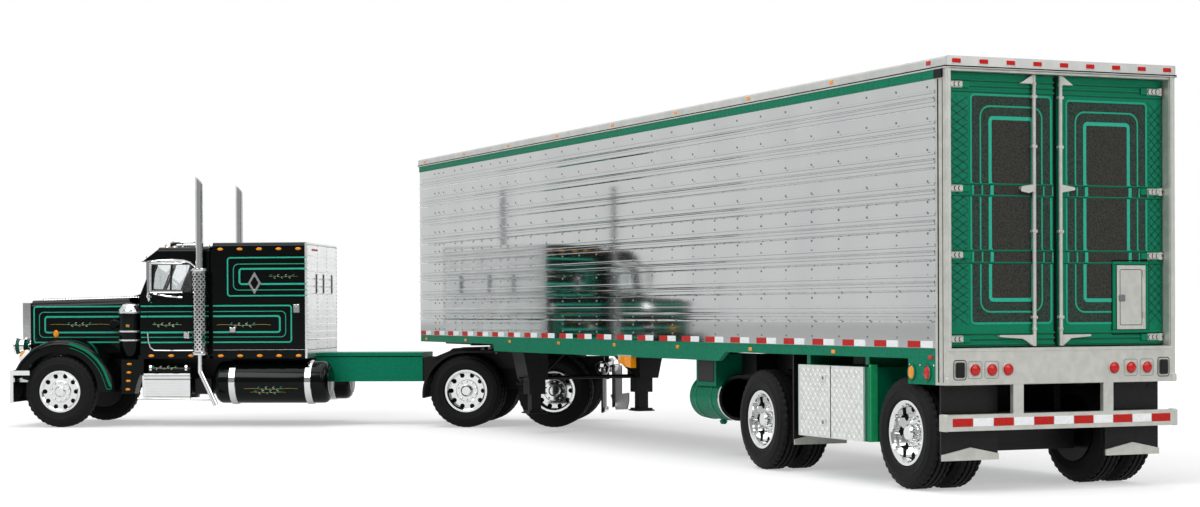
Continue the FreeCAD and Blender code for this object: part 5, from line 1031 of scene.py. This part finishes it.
@build("tractor")
def roof_trim(piece):
    """Marker lamps along the cab's brow, horns and trumpets, and the visor's edge."""
    for v in (-12.5, -6.5, 0, 6.5, 12.5):
        piece.lathe((83, v, 42.55), UP, [(0.75, 0), (0.7, 0.25), (0.5, 0.5)], "chrome", 16)
        piece.lathe((83.3, v, 43), AHEAD, [(0.4, 0), (0.36, 0.35), (0.02, 0.5)], "lamp_amber", 14)
    for sign in BOTH:
        v, outer = 4.6 * sign, 10.5 * sign
        piece.lathe((83, v, 43.4), AHEAD, [(0.5, 0), (0.6, 0.6), (1, 1.3), (1.15, 1.4),
                                             (0.9, 1.35), (0.3, 0.9)], "chrome", 24)
        piece.lathe((77.4, v, 43.4), BACK, [(0.75, 0), (0.85, 0.3), (0.6, 0.9)], "chrome", 20)
        piece.lathe((75.4, outer, 43.9), AHEAD,
                    [(0.02, -0.1), (0.5, 0), (0.55, 0.5), (0.3, 1), (0.3, 4.5), (0.5, 6),
                     (0.95, 7.2), (1, 7.3), (0.85, 7.25), (0.2, 6.5)], "chrome", 24)
        for u in (76.6, 80):
            piece.lathe((u, outer, 42.3), UP, [(0.4, 0), (0.25, 0.4), (0.25, 1.5)], "chrome", 12)
        piece.tube([(77, v, 43.3), (76.2, v * 1.5, 43), (75.6, v * 2, 42.7)], 0.16, "satin", 6)
        piece.tube([(88.05, sign * 3, 39.3), (88.1, sign * 16.8, 39.25)], 0.08, "satin", 6)


@build("tractor", BOTH)
def mirror_trim(piece, sign):
    """A mirror head whose pale glowing glass is a painted reflection, and the loops of its arms.
    """
    v = 21.4 * sign
    # the glass is a pale glowing sheet: a painted reflection
    piece.box((84.62, v - 0.62, 32.1), (84.72, v + 0.62, 38.7), "tape_white", 0.05)
    for z in (31.85, 38.75):
        piece.tube([(85, v, z), (84.6, v - sign * 0.2, z), (81.5, v - sign * 2, z),
                    (78.2, sign * (CAB + 0.1), z)], 0.2, "chrome")
    piece.tube([(85.2, v, 31.9), (85.6, v - sign * 0.4, 31), (85.5, v - sign * 1.2, 29.9),
                (85.3, v - sign * 2.6, 29.6), (85.4, CAB * sign, 29.7)], 0.2, "chrome")
    piece.lathe((85.3, v - sign, 30.6), BACK, [(0.75, 0), (0.7, 0.3), (0.2, 0.5)], "chrome",
                18)


@build("tractor")
def rear_panel_trim(piece):
    """Rivets, ribs and slots on the polished back of the sleeper, each slot with a painted shadow
    line beside it, and its three small lamps.
    """
    u = 48.3
    piece.domes(product((u,), (-16.4, 16.4, -5.2, 5.2), span(18.6, 42.9, 26)), BACK, 0.17, 0.08,
                "rivet", 6)
    piece.domes(product((u,), span(-15.8, 15.8, 30), (18.2, 43.1)), BACK, 0.17, 0.08, "rivet", 6)
    for z in span(20.6, 40.4, 12):
        piece.skin([[(u + a, v, z + b) for a, b in ((0.02, -0.2), (-0.16, 0), (0.02, 0.2))]
                    for v in (-16, 16)], "sheet", wrap=False)
    for v in (6.6, -1.3, -10.8):
        piece.box((u - 0.2, v - 0.28, 31.6), (u, v + 0.28, 36.2), "rivet", 0.1)
        # a dark line beside the slot: a painted shadow
        piece.ribbon([(v + 0.55, 31.2), (v + 0.55, 36.8)], 0.12, across(u - LIFT), "gap")
    piece.domes([(u, v, 41.9) for v in (6.2, 8.4, 10.6)], BACK, 0.32, 0.25, "lamp_red", 12)


@build("tractor")
def tractor_tail_trim(piece):
    """Tail lamp housings, flap weights and the bent plate of the tractor's tail, made bright by a
    painted glow.
    """
    for sign in BOTH:
        for v, profile, look, steps in (
                (13.6, [(0.02, -0.2), (1.2, 0), (1.8, 0.5), (1.85, 1.1), (1.6, 1.3),
                        (1.35, 1.15)], "chrome", 32),
                (14.75, [(1.4, 0), (1.3, 0.1), (1.05, 0.12)], "gap", 28),
                (14.8, [(1.05, 0), (0.8, 0.3), (0.02, 0.42)], "chrome", 28)):
            piece.lathe((-21.2, sign * v, 13.65), (0, sign, 0), profile, look, steps)
        piece.box((-22.35, 10.6, 3.5), (-22, 19, 4.6), "chrome", 0.15, sign)
        piece.box((-22.3, 10.6, 13.2), (-21.9, 19, 13.7), "chrome", 0.1, sign)
        piece.box((-22.4, 18.9, 4), (-22.1, 19.1, 13.4), "silver", 0.06, sign)
    outline = [(0.14, 13.6), (0.62, 13.6), (0.6, 6.6), (1, 6.9), (1, 4.8), (0.9, 2.8),
               (0.3, 2.6), (0, 6.2), (0.12, 6.4)]
    # the white plate glows with painted light
    for look, shift in (("tape_white", 0), ("satin", -0.25)):
        piece.skin([[(-20.4 - 4.9 * s + shift * 0.7, -16.6 + 5 * s + h + shift, z)
                     for s, z in outline] for h in (0.12, -0.12)], look)


@build("tractor", BOTH)
def frame_ramps_and_shade(piece, sign):
    """A dark ramp ahead of the turntable, and dark sheets of painted shade beside the drive
    wheels.
    """
    outline = [(8.2, 16.15), (8.2, 18.45), (14.9, 18.3), (15.7, 17.7), (19.6, 16.15)]
    piece.skin([[(u, sign * v, z) for u, z in outline] for v in (3, 9.3)], "satin")
    # dark sheets that stand for the shade beside the drive wheels: painted shade
    piece.box((-13, 9.1, 13.5), (14, 9.3, 17.35), "satin", 0.04, sign)
    piece.box((-13, 7, 15.3), (14, 9.2, 15.5), "satin", 0.04, sign)
    piece.ribbon([(22.6, 16.35), (48.2, 16.35)], 0.26, along(sign * (7.4 + LIFT)), "gap")


@build("fifth_wheel")
def fifth_wheel_trim(piece):
    """The release handle of the turntable."""
    piece.tube([(4, 6.2, 17.6), (4.4, 8.6, 17.3), (4.4, 10.4, 17.2)], 0.22, "silver")


@build("tractor", BOTH)
def frame_bolts(piece, sign):
    """Bolts along a frame rail."""
    piece.domes(product(span(26, 45, 9) + span(-19, -14.5, 4), (7 * sign,), (11.6, 14.4)),
                (0, sign, 0), 0.22, 0.12, "green", 6)


# Stage, light and camera

# metres from the middle between which the floor's glow grows, and its strength at both
FLOOR_REACH = (0.15, 0.7)
FLOOR_GLOW = (0.44, 0.85)
FLOOR_SHINE = 0.3
FLOOR_HALF = 4
# direction from and to which a wall or the ceiling brightens, and its strength at both
WALL_ACROSS = (-0.4, 0.5, 0.42, 1)
WALL_ALONG = (-0.6, 0.4, 1, 0.78)
CEILING = (0.35, 0.75, 0, 1)
ROOM = 0.3
# name, place, width and height in metres, and power in watts
LAMPS = (("key", (-0.5, 0.75, 0.75), (0.7, 0.5), 6),
         ("fill", (-0.9, -0.3, 0.5), (0.6, 0.6), 3),
         ("top", (0.05, 0.1, 0.9), (1, 0.8), 5))


def joined(tree, operation, *values):
    """A math node fed by sockets or plain numbers."""
    return feed(tree, "Math", dict(enumerate(values)), operation=operation).outputs[0]


def ranged(tree, source, *limits):
    """A smooth step from one range of values to another."""
    values = dict(zip(("Value", "From Min", "From Max", "To Min", "To Max"), (source,) + limits))
    return feed(tree, "MapRange", values, interpolation_type="SMOOTHSTEP").outputs["Result"]


def ray_kinds(tree):
    """Sockets that say whether a ray is seen directly, through glass too, or by reflection."""
    path = tree.nodes.new("ShaderNodeLightPath").outputs
    return (joined(tree, "MAXIMUM", path["Is Camera Ray"], path["Is Transmission Ray"]),
            path["Is Glossy Ray"])


def floor_material():
    """Pale paper that the camera sees as white wherever nothing shades it."""
    mat = bpy.data.materials.new("pale_floor")
    mat.use_nodes = True
    tree = mat.node_tree
    shader = feed(tree, tree.nodes["Principled BSDF"], {
        "Base Color": (0.6, 0.6, 0.6, 1), "Roughness": 0.9, "Specular IOR Level": 0.1})
    reach = feed(tree, "VectorMath", {0: feed(tree, "TexCoord", {}).outputs["Object"]},
                 operation="LENGTH")
    direct = ranged(tree, reach.outputs["Value"], *FLOOR_REACH, *FLOOR_GLOW)
    seen, glossy = ray_kinds(tree)
    level = joined(tree, "MAXIMUM", joined(tree, "MULTIPLY", seen, direct),
                   joined(tree, "MULTIPLY", glossy, FLOOR_SHINE))
    glow = feed(tree, "Emission", {"Strength": level})
    both = feed(tree, "AddShader", {0: shader.outputs[0], 1: glow.outputs[0]})
    feed(tree, tree.nodes["Material Output"], {"Surface": both.outputs[0]})
    return mat


def room():
    """A white room with a dimmer wall behind the camera, which polished metal shows."""
    world = bpy.data.worlds.new("white_room")
    bpy.context.scene.world = world
    world.use_nodes = True
    tree = world.node_tree
    way = feed(tree, "SeparateXYZ", {0: feed(tree, "TexCoord", {}).outputs["Generated"]}).outputs
    wall = joined(tree, "MULTIPLY", ranged(tree, way["X"], *WALL_ACROSS),
                  ranged(tree, way["Y"], *WALL_ALONG))
    shown = joined(tree, "MAXIMUM", wall, ranged(tree, way["Z"], *CEILING))
    clear, glossy = ray_kinds(tree)
    level = joined(tree, "MAXIMUM", clear, joined(tree, "MULTIPLY", glossy, shown))
    feed(tree, tree.nodes["Background"], {"Strength": joined(tree, "MAXIMUM", level, ROOM),
                                          "Color": (1, 1, 1, 1)})


def studio():
    """A pale floor that keeps the shadow, a white room and soft lamps."""
    mesh = bpy.data.meshes.new("floor")
    mesh.from_pydata([(a * FLOOR_HALF, b * FLOOR_HALF, -0.05 * MM)
                      for a, b in ((-1, -1), (1, -1), (1, 1), (-1, 1))], [], [[0, 1, 2, 3]])
    floor = linked("floor", mesh)
    mesh.materials.append(floor_material())
    room()
    for name, where, size, power in LAMPS:
        light = bpy.data.lights.new(name, "AREA")
        light.shape = "RECTANGLE"
        light.size, light.size_y = size
        light.energy = power
        item = linked(name, light)
        item.location = where
        item.rotation_euler = (Vector((0, 0, 0.03)) - Vector(where)).to_track_quat(
            "-Z", "Y").to_euler()


def camera():
    """The camera at the photograph's place, with its small upward shift."""
    yaw, pitch, roll = -0.4056, -0.0086, -0.0049
    photo_width, focal, shift = 1200, 2231.3, 75.3774
    ahead = Vector((cos(pitch) * cos(yaw), cos(pitch) * sin(yaw), sin(pitch)))
    right = Vector((sin(yaw), -cos(yaw), 0))
    up = right.cross(ahead)
    turned_right = right * cos(roll) + up * sin(roll)
    turned_up = up * cos(roll) - right * sin(roll)
    data = bpy.data.cameras.new("camera")
    data.sensor_width = 36
    data.sensor_fit = "HORIZONTAL"
    data.lens = focal * data.sensor_width / photo_width
    data.shift_y = shift / photo_width
    data.clip_start = 0.01
    data.clip_end = 20
    item = linked("camera", data)
    axes = (turned_right, turned_up, -ahead, on_trailer((-278.0473, 194.545, 27.3061)))
    item.matrix_world = Matrix([[v[i] for v in axes] for i in range(3)] + [[0, 0, 0, 1]])
    bpy.context.scene.camera = item


studio()
camera()
bpy.context.scene.view_settings.view_transform = "Standard"
